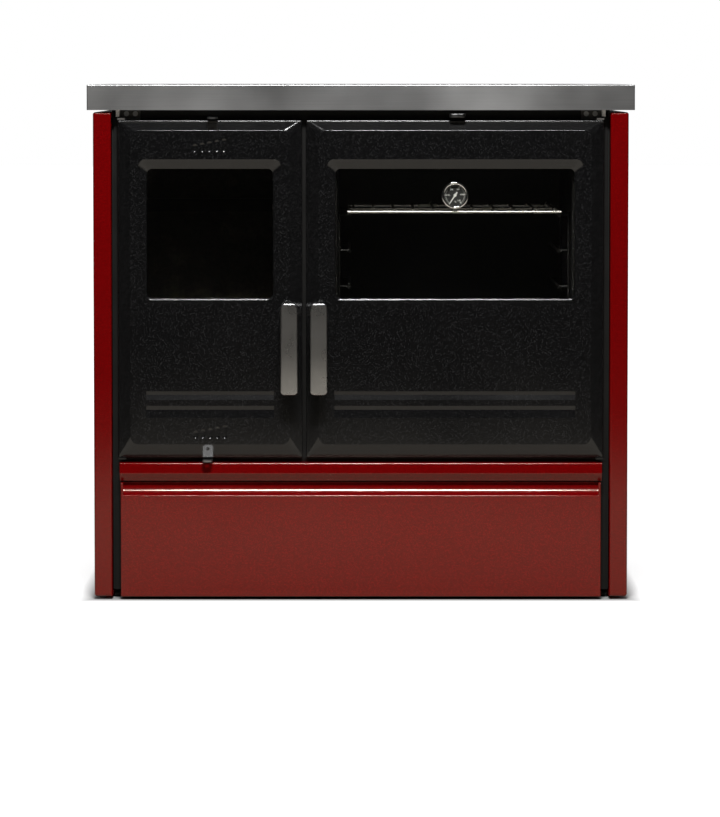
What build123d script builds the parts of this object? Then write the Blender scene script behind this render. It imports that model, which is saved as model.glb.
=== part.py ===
from build123d import *
from collections import namedtuple
import os

# Free-standing wood cookstove, in millimetres: +Z up, +X to the right of someone facing it, front to -Y.
# The origin is on the floor at the middle of the overall box, from the handles to the flue collar.

# Overall box and worktop
OVERALL_HEIGHT = 850.0
WORKTOP_WIDTH = 900.0
WORKTOP_DEPTH = 577.0
RIM_HEIGHT = 41.5
WORKTOP_SHEET = 2.5
RIM_FLANGE = 16.0          # width of the rim's foot, folded inward
RIM_RADIUS = 1.5
HANDLE_REACH = 43.0        # handles in front of the worktop's front edge
FLUE_REACH = 40.0          # flue collar behind the worktop's rear edge
SIDE_OVERHANG = 9.5        # worktop beyond the side panels
REAR_OVERHANG = 37.0       # worktop beyond the rear panel
HOB_THICKNESS = 12.0
HOB_SETBACK = 52.0         # worktop's front edge to the hob plate
HOB_REAR_MARGIN = 95.0     # worktop's rear edge to the hob plate
HOB_SIDE_MARGIN = 80.0     # worktop's side edges to the hob plate
HOB_GAP = 1.5
HOB_LEDGE = 15.0           # width of the hob plate that rests on its ledges
HOB_CENTRE_INSET = 160.0   # hob plate's left edge to the middle of ring and lid
RING_RADIUS = 118.0
LID_RADIUS = 72.0
LID_STEP = 8.0             # width of the rebates that carry ring and lid
LID_THICKNESS = 4.0
LIFT_SLOT_LENGTH = 30.0
LIFT_SLOT_WIDTH = 9.0

# Side panels and carcass
PANEL_THICKNESS = 30.0
PANEL_SHEET = 2.0
PANEL_RADIUS = 4.0
PANEL_TOP_GAP = 3.5
PANEL_SETBACK = 4.0        # worktop's front edge to the panels' front edges
FLOOR_GAP = 5.0            # panels and drawer above the floor
CARCASS_SHEET = 3.0
WALL_FLANGE = 16.0
FRAME_PLATE = 4.0
FRAME_SIDE_GAP = 4.0       # front frame to the side panels
BEARER_THICKNESS = 6.0
BEARER_INSET = 4.5         # upright leg to the carcass wall
BEARER_HEIGHT = 50.0
BEARER_FIT = 0.3
FOOT_HEIGHT = 14.0
FOOT_RADIUS = 15.0
FOOT_SIDE_GAP = 1.0        # to the side panels
FOOT_STUD_RADIUS = 5.0
FOOT_SETBACK = 28.0
SILL_HEIGHT = 28.0
SILL_WIDTH = 28.0
SILL_WALL = 2.5

# Doors
DOOR_REACH = 1.0           # door faces in front of the worktop's front edge
DOOR_THICKNESS = 23.0
DOOR_TOP_GAP = 16.5        # under the worktop's rim
DOOR_HEIGHT = 557.0
DOOR_SIDE_GAP = 10.3       # to the side panels
DOOR_GAP = 6.5
FIREBOX_DOOR_WIDTH = 303.7
BEVEL_DEPTH = 12.0
BEVEL_TOP = 17.0
BEVEL_SIDE = 20.5
BEVEL_BOTTOM = 22.5
RAISED_RADIUS = 13.0
DOOR_CORNER = 2.5
DOOR_EDGE_RADIUS = 1.6
DOOR_BEAD_RADIUS = 2.5     # bead along a door's top edge
BORDER_RADIUS = 0.8        # round the raised border
FACE_RADIUS = 4.0          # round the window and its brow
DOOR_SKIN = 7.0
LINER_INSET = 15.0
LINER_CORNER = 24.0
LINER_LEDGE = 4.0
LINER_SHEET = 2.0
WINDOW_TOP = 80.0          # door's top edge to the glass
WINDOW_HEIGHT = 213.0
WINDOW_SIDE = 48.5
WINDOW_RADIUS = 8.0
RECESS_WIDTH = 15.0
RECESS_DEPTH = 8.0
RECESS_RADIUS = 13.0
BROW_INNER_HEIGHT = 24.0   # height of the slope over a window where it meets the glass
BROW_DROP = 12.0           # how far its ends come down beside the glass
GLASS_LIP = 3.0
GLASS_THICKNESS = 4.0
GLASS_OVERLAP = 8.0
GLASS_GAP = 0.5
GLASS_SEAT_WALL = 14.0
GROOVES = ((110.5, 14.0, 5.8), (86.5, 20.0, 6.6))   # top above the door's foot, height, lip height
GROOVE_DEPTH = 3.0
GROOVE_OVERRUN = 2.0       # beyond the glass on each side
MARK_COUNT = 5
MARK_PITCH = 12.0
MARK_WIDTH = 8.0
MARK_DEPTH = 1.6
MARK_FIRST_HEIGHT = 14.0
MARK_STEP = 2.2
UPPER_MARKS_DROP = 53.0    # door's top edge to the foot of the upper marks
LOWER_MARKS_RISE = 32.0    # door's foot to the foot of the lower marks
GASKET_DIAMETER = 9.0
GASKET_INSET = 8.0
GASKET_CLEARANCE = 0.4
GASKET_FIT = 0.2
GASKET_CORNER = 30.0

# Hinges
HINGE_INSET = 7.0          # pin to the door's outer edge
PIN_WALL = 2.85            # door behind the pin's hole
PIN_RADIUS = 3.0
PIN_LENGTH = 14.0
PIN_CLEARANCE = 0.05
HINGE_GAP = 0.3
LUG_THICKNESS = 3.0
LUG_WIDTH = 12.0
LUG_NOSE = 7.0             # lug in front of the pin
BRACKET_WIDTH = 33.0
BRACKET_HEIGHT = 32.0
BRACKET_PLATE = 3.0
BRACKET_SCREW_PITCH = 14.5
BRACKET_SCREW_SHIFT = 1.2  # screws inward of the bracket's middle

# Handles and latches
HANDLE_INSET = 21.0        # spindle to the door's free edge
HANDLE_PIVOT_RISE = 244.0  # spindle above the door's foot
HANDLE_ABOVE_PIVOT = 14.0
HANDLE_LENGTH = 151.0
HANDLE_WIDTH = 28.0
HANDLE_FOOT_WIDTH = 28.6
HANDLE_THICKNESS = 7.0
HANDLE_LEAN = 3.0          # how far the foot of a lever bends back
HANDLE_CORNER = 7.0
HANDLE_EDGE = 2.8
HANDLE_BOSS_RADIUS = 10.0
HANDLE_FIT = 0.3
SPINDLE_RADIUS = 4.5
SPINDLE_CLEARANCE = 0.06
LATCH_THICKNESS = 5.0
LATCH_HUB_RADIUS = 6.2
LATCH_REACH = 17.0
LATCH_WIDTH = 9.0
LATCH_CLEARANCE = 0.6
LATCH_SLOT_WIDTH = 26.0
LATCH_SLOT_HEIGHT = 50.0
KEEPER_THICKNESS = 3.0
KEEPER_WIDTH = 10.0
KEEPER_HEIGHT = 40.0

# Thermometer
GAUGE_DROP = 43.5          # glass's top edge to the thermometer's middle
GAUGE_RADIUS = 22.0
GAUGE_DEPTH = 9.5
GAUGE_WALL = 2.0
BEZEL_WIDTH = 4.2          # case's outer edge to the opening in front of the lens
BEZEL_ROUND = 1.8
GAUGE_STEM_RADIUS = 5.0
GAUGE_STEM_LENGTH = 40.0
GAUGE_NUT_RADIUS = 9.0
GAUGE_NUT_THICKNESS = 5.0
GAUGE_STEM_FIT = 0.3
DIAL_THICKNESS = 1.0
LENS_THICKNESS = 1.5
LENS_INSET = 2.0
NEEDLE_LENGTH = 15.0
NEEDLE_TAIL = 6.0
NEEDLE_WIDTH = 2.4
NEEDLE_THICKNESS = 0.6
NEEDLE_HUB_RADIUS = 2.4
ARBOR_RADIUS = 0.8
ARBOR_CLEARANCE = 0.06
NEEDLE_ANGLE = 213.0       # clockwise from straight up, seen from the front

# Trim bar and drawer
TRIM_GAP = 8.0             # door's foot to the trim bar
TRIM_SIDE_GAP = 12.6       # to the side panels
TRIM_FACE = 17.5
TRIM_LEAN = 1.5            # top of the bar's face behind its foot
TRIM_CHAMFER_RUN = 7.5
TRIM_CHAMFER_DROP = 12.6
TRIM_SHEET = 2.0
TRIM_RADIUS = 2.5
DRAWER_GAP = 2.5           # trim bar to the drawer
DRAWER_SIDE_GAP = 14.0     # to the side panels
DRAWER_FRONT_THICKNESS = 18.0
DRAWER_SHEET = 2.0
DRAWER_EDGE_RADIUS = 2.0
FINGER_HEIGHT = 20.8
FINGER_DEPTH = 14.0
FINGER_END = 4.5           # end wall of the finger groove
BAY_MARGIN = 11.0          # drawer front over the edge of its bay
BOX_SIDE_GAP = 12.0        # drawer box to the edge of the bay
BOX_REAR_GAP = 22.0        # drawer box to the rear rail
BOX_FLOOR = 20.0
BOX_TOP_DROP = 29.4        # drawer box below the drawer front's top
BOX_LAP = 10.0             # drawer front's flange over the box
RUNNER_WIDTH = 9.0
RUNNER_HEIGHT = 12.0
RUNNER_FIT = 0.4
CHANNEL_WALL = 2.0

# Air tabs and damper
AIR_SHEET = 2.0
AIR_FIT = 0.3
AIR_PLATE_WIDTH = 110.0
AIR_PLATE_ABOVE = 9.0
AIR_PLATE_BELOW = 11.0
TAB_WIDTH = 16.5
TAB_THICKNESS = 3.0
TAB_REACH = 14.0           # tab in front of the door faces
TAB_HOLE_RADIUS = 3.0
TAB_SLOT_FIT = 0.5
SECONDARY_OFFSET = 4.5     # tab to the right of the firebox door's middle
SECONDARY_RISE = 3.5       # tab's middle above the door's top edge
SECONDARY_TRAVEL = (-30.0, 18.0)
PRIMARY_OFFSET = -4.5      # tab to the left of the firebox door's middle
PRIMARY_DROP = 4.0         # tab's middle below the door's foot
PRIMARY_TRAVEL = (-21.0, 27.0)
DAMPER_OFFSET = 3.75       # rod to the right of the oven door's middle
DAMPER_RISE = 7.5          # rod above the door's top edge
DAMPER_ROD_RADIUS = 2.2
DAMPER_ROD_CLEARANCE = 0.06
DAMPER_PLATE_WIDTH = 200.0
DAMPER_PLATE_DEPTH = 91.8
DAMPER_PLATE_SHEET = 3.0
DAMPER_PLATE_GAP = 0.3
KNOB_WIDTH = 27.0
KNOB_DEPTH = 18.0
KNOB_HEIGHT = 6.5
KNOB_GRIP = 8.0            # rod inside the knob

# Firebox and oven
MOUTH_MARGIN = 13.2        # door edge to the opening behind it
MOUTH_CORNER = 20.0
BRICK_THICKNESS = 30.0
BRICK_SETBACK = 22.0       # behind the front frame
BRICK_TOP_DROP = 59.0      # below the door's top edge
BRICK_INSIDE = 3.5         # right brick inside the mouth's edge
FIREBOX_DEPTH = 400.0
PARTITION_SHEET = 3.0
ASH_SHELF_GAP = 0.5        # below the mouth
GRATE_RISE = 140.0         # grate ledge above the mouth's foot
LEDGE_SHEET = 5.0
LEDGE_WIDTH = 45.0
GRATE_THICKNESS = 12.0
GRATE_BEARING = 10.0
GRATE_SLOT_WIDTH = 9.0
GRATE_SLOT_PITCH = 20.0
GRATE_SLOT_MARGIN = 16.0
ASH_PAN_GAP = 12.0
ASH_PAN_HEIGHT = 75.0
ASH_PAN_SHEET = 2.0
ASH_PAN_SETBACK = 14.0
ASH_PAN_DEPTH = 330.0
AIR_BAR_HEIGHT = 22.0
AIR_BAR_DEPTH = 20.0
AIR_BAR_WALL = 2.0
AIR_BAR_DROP = 153.0       # below the door's top edge
AIR_HOLE_RADIUS = 3.0
AIR_HOLE_PITCH = 21.0
OVEN_INSET = 51.0          # oven door's side edges to the cavity
OVEN_TOP_INSET = 62.0
OVEN_FOOT_INSET = 95.0
OVEN_DEPTH = 426.0
OVEN_SHEET = 2.0
RACK_DROP = 153.0          # rack below the door's top edge
RACK_WIRE_RADIUS = 2.4
RACK_FRAME_RADIUS = 2.6
RACK_OVERRUN = 9.0         # cross bars beyond the outermost wires
RACK_WIRES = 11
RACK_DEPTH = 330.0
RACK_SETBACK = 30.0
RACK_SIDE_GAP = 17.0
RAIL_RADIUS = 2.5
RAIL_STUB_RADIUS = 2.0     # short wires from the posts to the rungs
RAIL_LEVELS = 4
RAIL_PITCH = 60.0
RAIL_FIT = 0.3

# Flue collar
FLUE_RADIUS = 75.5
FLUE_WALL = 4.5
FLUE_FLANGE_RADIUS = 102.0
FLUE_FLANGE = 5.0
FLUE_DROP = 210.0          # flue's middle below the worktop's top

# Small screws
SCREW_RADIUS = 2.0
SCREW_HEAD_RADIUS = 4.2
SCREW_HEAD_HEIGHT = 2.8
SCREW_FIT = 0.1
SOCKET_RADIUS = 2.0
SOCKET_DEPTH = 1.4
CLIP_SHEET = 2.0
CLIP_WIDTH = 20.0
CLIP_INSET = 30.0          # from the glass's corners

# Planes worked out from the sizes above, front to back
worktop_front = HANDLE_REACH - (HANDLE_REACH + WORKTOP_DEPTH + FLUE_REACH) / 2
worktop_back = worktop_front + WORKTOP_DEPTH
handle_front = worktop_front - HANDLE_REACH
handle_back = handle_front + HANDLE_THICKNESS
door_front = worktop_front - DOOR_REACH
door_edge = door_front + BEVEL_DEPTH
door_back = door_front + DOOR_THICKNESS
pin_y = door_back - PIN_WALL - PIN_CLEARANCE - PIN_RADIUS
frame_front = door_back + GASKET_DIAMETER / 2 + GASKET_CLEARANCE
frame_back = frame_front + FRAME_PLATE
panel_front = worktop_front + PANEL_SETBACK
trim_front = door_front
drawer_front_y = door_front
drawer_back_y = drawer_front_y + DRAWER_FRONT_THICKNESS
rear_outside = worktop_back - REAR_OVERHANG
rear_inside = rear_outside - CARCASS_SHEET
flue_end = worktop_back + FLUE_REACH

# Heights
worktop_under = OVERALL_HEIGHT - WORKTOP_SHEET
rim_foot = OVERALL_HEIGHT - RIM_HEIGHT
hob_foot = OVERALL_HEIGHT - HOB_THICKNESS
panel_top = rim_foot - PANEL_TOP_GAP
door_top = rim_foot - DOOR_TOP_GAP
door_foot = door_top - DOOR_HEIGHT
trim_top = door_foot - TRIM_GAP
trim_face_foot = trim_top - TRIM_FACE
trim_foot = trim_face_foot - TRIM_CHAMFER_DROP
drawer_top = trim_foot - DRAWER_GAP
floor_top = trim_foot + 2 * CARCASS_SHEET
bearer_foot = worktop_under - BEARER_HEIGHT
pivot_z = door_foot + HANDLE_PIVOT_RISE
window_z = (door_top - WINDOW_TOP - WINDOW_HEIGHT, door_top - WINDOW_TOP)
mouth_z = (door_foot + MOUTH_MARGIN, door_top - MOUTH_MARGIN)
oven_z = (door_foot + OVEN_FOOT_INSET, door_top - OVEN_TOP_INSET)
brick_top = door_top - BRICK_TOP_DROP
grate_foot = mouth_z[0] + GRATE_RISE
shelf_top = mouth_z[0] - ASH_SHELF_GAP
secondary_z = door_top + SECONDARY_RISE
primary_z = door_foot - PRIMARY_DROP
damper_z = door_top + DAMPER_RISE
flue_z = OVERALL_HEIGHT - FLUE_DROP
sill_top = FOOT_HEIGHT + SILL_HEIGHT

# Widths, measured from the middle
half_worktop = WORKTOP_WIDTH / 2
panel_outside = half_worktop - SIDE_OVERHANG
carcass_outside = panel_outside - PANEL_THICKNESS
carcass_inside = carcass_outside - CARCASS_SHEET
bearer_inside = carcass_inside - BEARER_INSET - BEARER_THICKNESS
bracket_outside = bearer_inside - 2 * BEARER_FIT
frame_half = carcass_outside - FRAME_SIDE_GAP
door_half = carcass_outside - DOOR_SIDE_GAP
trim_half = carcass_outside - TRIM_SIDE_GAP
drawer_half = carcass_outside - DRAWER_SIDE_GAP
bay_half = drawer_half - BAY_MARGIN
box_half = bay_half - BOX_SIDE_GAP

# A door's left and right edges, and the side its hinge is on: -1 left, 1 right
Door = namedtuple("Door", "left right hinge")
firebox_door = Door(-door_half, -door_half + FIREBOX_DOOR_WIDTH, -1)
oven_door = Door(firebox_door.right + DOOR_GAP, door_half, 1)
mouth_x = (firebox_door.left + MOUTH_MARGIN, firebox_door.right - MOUTH_MARGIN)
oven_x = (oven_door.left + OVEN_INSET, oven_door.right - OVEN_INSET)
oven_y = (frame_back, frame_back + OVEN_DEPTH)
firebox_middle = (firebox_door.left + firebox_door.right) / 2
oven_middle = (oven_door.left + oven_door.right) / 2
secondary_x = firebox_middle + SECONDARY_OFFSET
primary_x = firebox_middle + PRIMARY_OFFSET
damper_x = oven_middle + DAMPER_OFFSET
brick_left_face = -carcass_inside + BRICK_THICKNESS
brick_right_face = mouth_x[1] - BRICK_INSIDE
partition_x = (brick_right_face + BRICK_THICKNESS, brick_right_face + BRICK_THICKNESS + PARTITION_SHEET)
brick_y = (frame_back + BRICK_SETBACK, frame_back + BRICK_SETBACK + FIREBOX_DEPTH)

# Planes inside a door, front to back
skin_back = door_front + DOOR_SKIN
recess_back = door_front + RECESS_DEPTH
glass_front = recess_back + GLASS_LIP
glass_back = glass_front + GLASS_THICKNESS
liner_front = door_back - LINER_SHEET
keeper_back = frame_back + KEEPER_THICKNESS
latch_y = (keeper_back + LATCH_CLEARANCE, keeper_back + LATCH_CLEARANCE + LATCH_THICKNESS)


def grow(span, amount):
    """Widen a (low, high) span by an amount at both ends."""
    return (span[0] - amount, span[1] + amount)


def middle(span):
    """Middle of a (low, high) span."""
    return (span[0] + span[1]) / 2


def mirrored(span):
    """The same (low, high) span on the other side of the middle plane."""
    return (-span[1], -span[0])


def block(x, y, z):
    """Box between (low, high) spans on the three axes."""
    size = Box(x[1] - x[0], y[1] - y[0], z[1] - z[0])
    return Pos(middle(x), middle(y), middle(z)) * size


def bar_x(x, y, z, radius):
    """Round bar along X."""
    return Pos(middle(x), y, z) * Rot(0, 90, 0) * Cylinder(radius, x[1] - x[0])


def bar_y(x, y, z, radius):
    """Round bar along Y."""
    return Pos(x, middle(y), z) * Rot(90, 0, 0) * Cylinder(radius, y[1] - y[0])


def bar_z(x, y, z, radius):
    """Round bar along Z."""
    return Pos(x, y, middle(z)) * Cylinder(radius, z[1] - z[0])


def front_plane(x, y, z):
    """Drawing plane at depth y that faces the front, with X to the right and Z up."""
    return Plane(origin=(x, y, z), x_dir=(1, 0, 0), z_dir=(0, -1, 0))


def outline(x, y, z, radius):
    """Rounded rectangle at depth y."""
    shape = RectangleRounded(x[1] - x[0], z[1] - z[0], radius)
    return front_plane(middle(x), y, middle(z)) * shape


def slab(x, y, z, radius):
    """Plate across the front with rounded corners, between two depths."""
    return extrude(outline(x, y[1], z, radius), y[1] - y[0])


def along_x(face, x):
    """Extrude a (Y, Z) face along X."""
    plane = Plane(origin=(x[0], 0, 0), x_dir=(0, 1, 0), z_dir=(1, 0, 0))
    return extrude(plane * face, x[1] - x[0])


def polygon(points):
    """Flat face through a list of corners."""
    return make_face(Polyline(*points, close=True))


def edges_at_depth(solid, y):
    """Edges of a solid that lie wholly in the plane at depth y."""
    return solid.edges().filter_by_position(Axis.Y, y, y).filter_by(Plane.XZ)


def hinge_x(door):
    """Where the door's pins stand."""
    return door.left + HINGE_INSET if door.hinge < 0 else door.right - HINGE_INSET


def handle_x(door):
    """Where the door's handle spindle is."""
    return door.right - HANDLE_INSET if door.hinge < 0 else door.left + HANDLE_INSET


def window_x(door):
    """Left and right edges of the door's glass as seen from the front."""
    return (door.left + WINDOW_SIDE, door.right - WINDOW_SIDE)


def screw(x, y, z, length):
    """Socket screw along Y: its head's underside is at y, its shank runs back from there."""
    head = bar_y(x, (y - SCREW_HEAD_HEIGHT, y), z, SCREW_HEAD_RADIUS)
    head -= bar_y(x, (y - SCREW_HEAD_HEIGHT, y - SCREW_HEAD_HEIGHT + SOCKET_DEPTH), z, SOCKET_RADIUS)
    return head + bar_y(x, (y, y + length), z, SCREW_RADIUS)


# Worktop and hob

hob_x = (-half_worktop + HOB_SIDE_MARGIN, half_worktop - HOB_SIDE_MARGIN)
hob_y = (worktop_front + HOB_SETBACK, worktop_back - HOB_REAR_MARGIN)
hob_centre_x = hob_x[0] + HOB_CENTRE_INSET
hob_centre_y = middle(hob_y)
ring_foot = OVERALL_HEIGHT - 2 * LID_THICKNESS
lid_foot = OVERALL_HEIGHT - LID_THICKNESS


def worktop_frame():
    """Folded sheet with a deep flanged rim all round and a cut-out for the hob plate."""
    x = (-half_worktop, half_worktop)
    y = (worktop_front, worktop_back)
    body = block(x, y, (rim_foot, OVERALL_HEIGHT))
    body = fillet(body.edges().filter_by(Axis.Z) + body.faces().sort_by(Axis.Z)[-1].edges(), RIM_RADIUS)
    flange_top = rim_foot + WORKTOP_SHEET
    body -= block(grow(x, -WORKTOP_SHEET), grow(y, -WORKTOP_SHEET), (flange_top, worktop_under))
    body -= block(grow(x, -RIM_FLANGE), grow(y, -RIM_FLANGE), (rim_foot, flange_top))
    return body - block(grow(hob_x, HOB_GAP), grow(hob_y, HOB_GAP), (worktop_under, OVERALL_HEIGHT))


def worktop_bearers():
    """Angle bars that carry the worktop along both sides; their ends show under the rim."""
    y = (worktop_front + RIM_FLANGE + BEARER_FIT, rear_inside)
    leg_x = (bearer_inside, bearer_inside + BEARER_THICKNESS)
    bearer = block(leg_x, y, (bearer_foot, worktop_under))
    wall_y = (frame_back, rear_inside)
    bearer += block((bearer_inside, carcass_inside), wall_y, (worktop_under - BEARER_THICKNESS, worktop_under))
    return bearer + mirror(bearer, Plane.YZ)


def stepped_hole(radius, step_z):
    """Round hole whose lower part is narrower, so that a disc rests on the step."""
    upper = bar_z(hob_centre_x, hob_centre_y, (step_z, OVERALL_HEIGHT), radius)
    lower = bar_z(hob_centre_x, hob_centre_y, (hob_foot, step_z), radius - LID_STEP)
    return upper + lower


def hob_plate():
    """Cast plate with a rebated round opening over the fire."""
    plate = block(hob_x, hob_y, (hob_foot, OVERALL_HEIGHT))
    plate = fillet(plate.edges().filter_by(Axis.Z), HOB_GAP)
    return plate - stepped_hole(RING_RADIUS + HOB_GAP, ring_foot)


def hob_ring():
    """Ring in the hob plate, rebated for the lid."""
    ring = bar_z(hob_centre_x, hob_centre_y, (ring_foot, OVERALL_HEIGHT), RING_RADIUS)
    return ring - stepped_hole(LID_RADIUS + HOB_GAP, lid_foot)


def hob_lid():
    """Lid in the ring, with a blind slot for the lifting iron."""
    lid = bar_z(hob_centre_x, hob_centre_y, (lid_foot, OVERALL_HEIGHT), LID_RADIUS)
    slot = Pos(hob_centre_x, hob_centre_y, OVERALL_HEIGHT - LID_THICKNESS / 2)
    slot *= extrude(SlotOverall(LIFT_SLOT_LENGTH, LIFT_SLOT_WIDTH), LID_THICKNESS / 2)
    return lid - slot


# Side panels and carcass

def side_panel(side):
    """Folded and enamelled panel, open towards the carcass."""
    x = (carcass_outside, panel_outside)
    y = (panel_front, rear_outside)
    z = (FLOOR_GAP, panel_top)
    panel = block(x, y, z)
    outer_face = panel.faces().sort_by(Axis.X)[-1]
    front_face = panel.faces().sort_by(Axis.Y)[0]
    panel = fillet(outer_face.edges() + front_face.edges(), PANEL_RADIUS)
    inside = (x[0], x[1] - PANEL_SHEET)
    panel -= block(inside, grow(y, -PANEL_SHEET - PANEL_RADIUS), grow(z, -PANEL_SHEET - PANEL_RADIUS))
    return panel if side > 0 else mirror(panel, Plane.YZ)


def carcass_wall(side):
    """Side wall with a flange that the front frame is fixed to."""
    x = (carcass_inside, carcass_outside)
    wall = block(x, (frame_back, rear_outside), (FOOT_HEIGHT, worktop_under))
    flange_x = (carcass_outside - WALL_FLANGE, carcass_outside)
    flange_y = (frame_back, frame_back + CARCASS_SHEET)
    wall += block(flange_x, flange_y, (sill_top, bearer_foot - BEARER_FIT))
    return wall if side > 0 else mirror(wall, Plane.YZ)


def carcass_floor():
    """Plate between the fire side and the drawer."""
    x = (-carcass_inside, carcass_inside)
    floor = block(x, (frame_back, rear_inside), (floor_top - CARCASS_SHEET, floor_top))
    flange_x = (carcass_outside - WALL_FLANGE, carcass_inside)
    notch_y = (frame_back, frame_back + CARCASS_SHEET)
    notch_z = (floor_top - CARCASS_SHEET, floor_top)
    floor -= block(flange_x, notch_y, notch_z) + block(mirrored(flange_x), notch_y, notch_z)
    return floor


def rear_panel():
    """Back wall with the flue hole and a ledge for the hob plate."""
    x = (-carcass_inside, carcass_inside)
    panel = block(x, (rear_inside, rear_outside), (FOOT_HEIGHT, worktop_under))
    ledge_y = (hob_y[1] - HOB_LEDGE, rear_inside)
    panel += block(hob_x, ledge_y, (hob_foot - CARCASS_SHEET, hob_foot))
    return panel - bar_y(oven_middle, (rear_inside, rear_outside), flue_z, FLUE_RADIUS + FLUE_WALL)


def tab_slot(x, z, travel):
    """Slot in the front frame that an air tab slides along."""
    width = (x - TAB_WIDTH / 2 + travel[0] - TAB_SLOT_FIT, x + TAB_WIDTH / 2 + travel[1] + TAB_SLOT_FIT)
    height = (z - TAB_THICKNESS / 2 - TAB_SLOT_FIT, z + TAB_THICKNESS / 2 + TAB_SLOT_FIT)
    return block(width, (frame_front, frame_back), height)


def front_frame():
    """Plate behind the doors and beside the drawer, with a ledge for the hob plate."""
    depth = (frame_front, frame_back)
    frame = block((-frame_half, frame_half), depth, (FOOT_HEIGHT, worktop_under))
    frame -= slab(mouth_x, depth, mouth_z, MOUTH_CORNER)
    frame -= block(oven_x, depth, oven_z)
    frame -= block((-bay_half, bay_half), depth, (FOOT_HEIGHT, floor_top - CARCASS_SHEET))
    slot_x = (oven_door.left + MOUTH_MARGIN, oven_door.left + MOUTH_MARGIN + LATCH_SLOT_WIDTH)
    frame -= block(slot_x, depth, grow((pivot_z, pivot_z), LATCH_SLOT_HEIGHT / 2))
    notch = (bearer_inside - BEARER_FIT, frame_half)
    notch_z = (bearer_foot - BEARER_FIT, worktop_under)
    frame -= block(notch, depth, notch_z) + block(mirrored(notch), depth, notch_z)
    frame -= tab_slot(secondary_x, secondary_z, SECONDARY_TRAVEL)
    frame -= tab_slot(primary_x, primary_z, PRIMARY_TRAVEL)
    frame -= bar_y(damper_x, depth, damper_z, DAMPER_ROD_RADIUS + DAMPER_ROD_CLEARANCE)
    frame -= [bar_y(x, depth, z, SCREW_RADIUS + SCREW_FIT) for x, z in bracket_screw_places()]
    ledge_y = (frame_back, hob_y[0] + HOB_LEDGE)
    return frame + block(hob_x, ledge_y, (hob_foot - CARCASS_SHEET, hob_foot))


def base_frame():
    """Two hollow sills under the walls, joined by a hollow rear rail."""
    x = (carcass_inside - SILL_WIDTH, carcass_inside)
    y = (frame_back, rear_inside)
    z = (FOOT_HEIGHT, sill_top)
    rail_y = (rear_inside - SILL_WIDTH, rear_inside)
    frame = block(x, y, z) + block(mirrored(x), y, z) + block((-x[0], x[0]), rail_y, z)
    hollow_z = grow(z, -SILL_WALL)
    for span in (x, mirrored(x)):
        frame -= block(grow(span, -SILL_WALL), y, hollow_z)
    for foot_x, foot_y in foot_places():
        frame -= bar_z(foot_x, foot_y, (FOOT_HEIGHT, FOOT_HEIGHT + SILL_WALL), FOOT_STUD_RADIUS + SCREW_FIT)
    return frame


def foot_places():
    """Middles of the four feet."""
    x = carcass_outside - FOOT_SIDE_GAP - FOOT_RADIUS
    rows = (frame_back + FOOT_SETBACK, rear_inside - FOOT_SETBACK)
    return [(side * x, y) for side in (-1, 1) for y in rows]


def levelling_feet():
    """Round pads on studs that pass into the sills."""
    feet = Part()
    for x, y in foot_places():
        pad = bar_z(x, y, (0, FOOT_HEIGHT), FOOT_RADIUS)
        pad = chamfer(pad.edges().group_by(Axis.Z)[-1], FOOT_HEIGHT / 3)
        feet += pad + bar_z(x, y, (FOOT_HEIGHT, sill_top - 2 * SILL_WALL), FOOT_STUD_RADIUS)
    return feet


# Trim bar and drawer

box_x = (-box_half, box_half)
box_y = (drawer_back_y, rear_inside - SILL_WIDTH - BOX_REAR_GAP)
box_z = (BOX_FLOOR, drawer_top - BOX_TOP_DROP)
runner_middle = middle((sill_top, box_z[1]))
runner_z = grow((runner_middle, runner_middle), RUNNER_HEIGHT / 2)
runner_y = (frame_back, box_y[1])


def trim_bar():
    """Folded red bar under the doors, with a leaning face and a foot chamfered back."""
    chamfer_y = trim_front + TRIM_CHAMFER_RUN
    face = polygon([(trim_front, trim_face_foot), (trim_front + TRIM_LEAN, trim_top), (frame_front, trim_top),
                    (frame_front, trim_foot), (chamfer_y, trim_foot)])
    bar = along_x(face, (-trim_half, trim_half))
    front_edges = bar.edges().filter_by(Axis.X).sort_by(Axis.Y)[:2]
    bar = fillet(front_edges, TRIM_RADIUS)
    inside_y = trim_front + TRIM_RADIUS + TRIM_SHEET
    hollow = polygon([(inside_y, trim_face_foot), (inside_y, trim_top - TRIM_SHEET),
                      (frame_front, trim_top - TRIM_SHEET), (frame_front, trim_foot + TRIM_SHEET),
                      (chamfer_y + TRIM_SHEET, trim_foot + TRIM_SHEET)])
    return bar - along_x(hollow, (-trim_half + TRIM_SHEET, trim_half - TRIM_SHEET))


def drawer_front():
    """Folded red front with a coved finger groove along its top and a flange that the box is fixed to."""
    groove_foot = drawer_top - FINGER_HEIGHT
    front = block((-drawer_half, drawer_half), (drawer_front_y, drawer_back_y), (FLOOR_GAP, drawer_top))
    cove = EllipticalCenterArc((drawer_front_y, drawer_top), FINGER_DEPTH, FINGER_HEIGHT, 270, arc_size=90)
    edges = Polyline(cove @ 1, (drawer_front_y, drawer_top), cove @ 0)
    cove_half = drawer_half - FINGER_END
    front -= along_x(make_face(cove + edges), (-cove_half, cove_half))
    front_face = front.faces().filter_by(Plane.XZ).sort_by(Axis.Y)[0]
    front = fillet(front_face.edges(), DRAWER_EDGE_RADIUS)
    wall = DRAWER_SHEET + DRAWER_EDGE_RADIUS
    inside_z = (FLOOR_GAP + wall, groove_foot - wall)
    inside_x = (-drawer_half + wall, drawer_half - wall)
    flange_front = drawer_back_y - DRAWER_SHEET
    front -= block(inside_x, (drawer_front_y + DRAWER_SHEET, flange_front), inside_z)
    return front - block(grow(box_x, -BOX_LAP), (flange_front, drawer_back_y), grow(box_z, -BOX_LAP))


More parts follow.
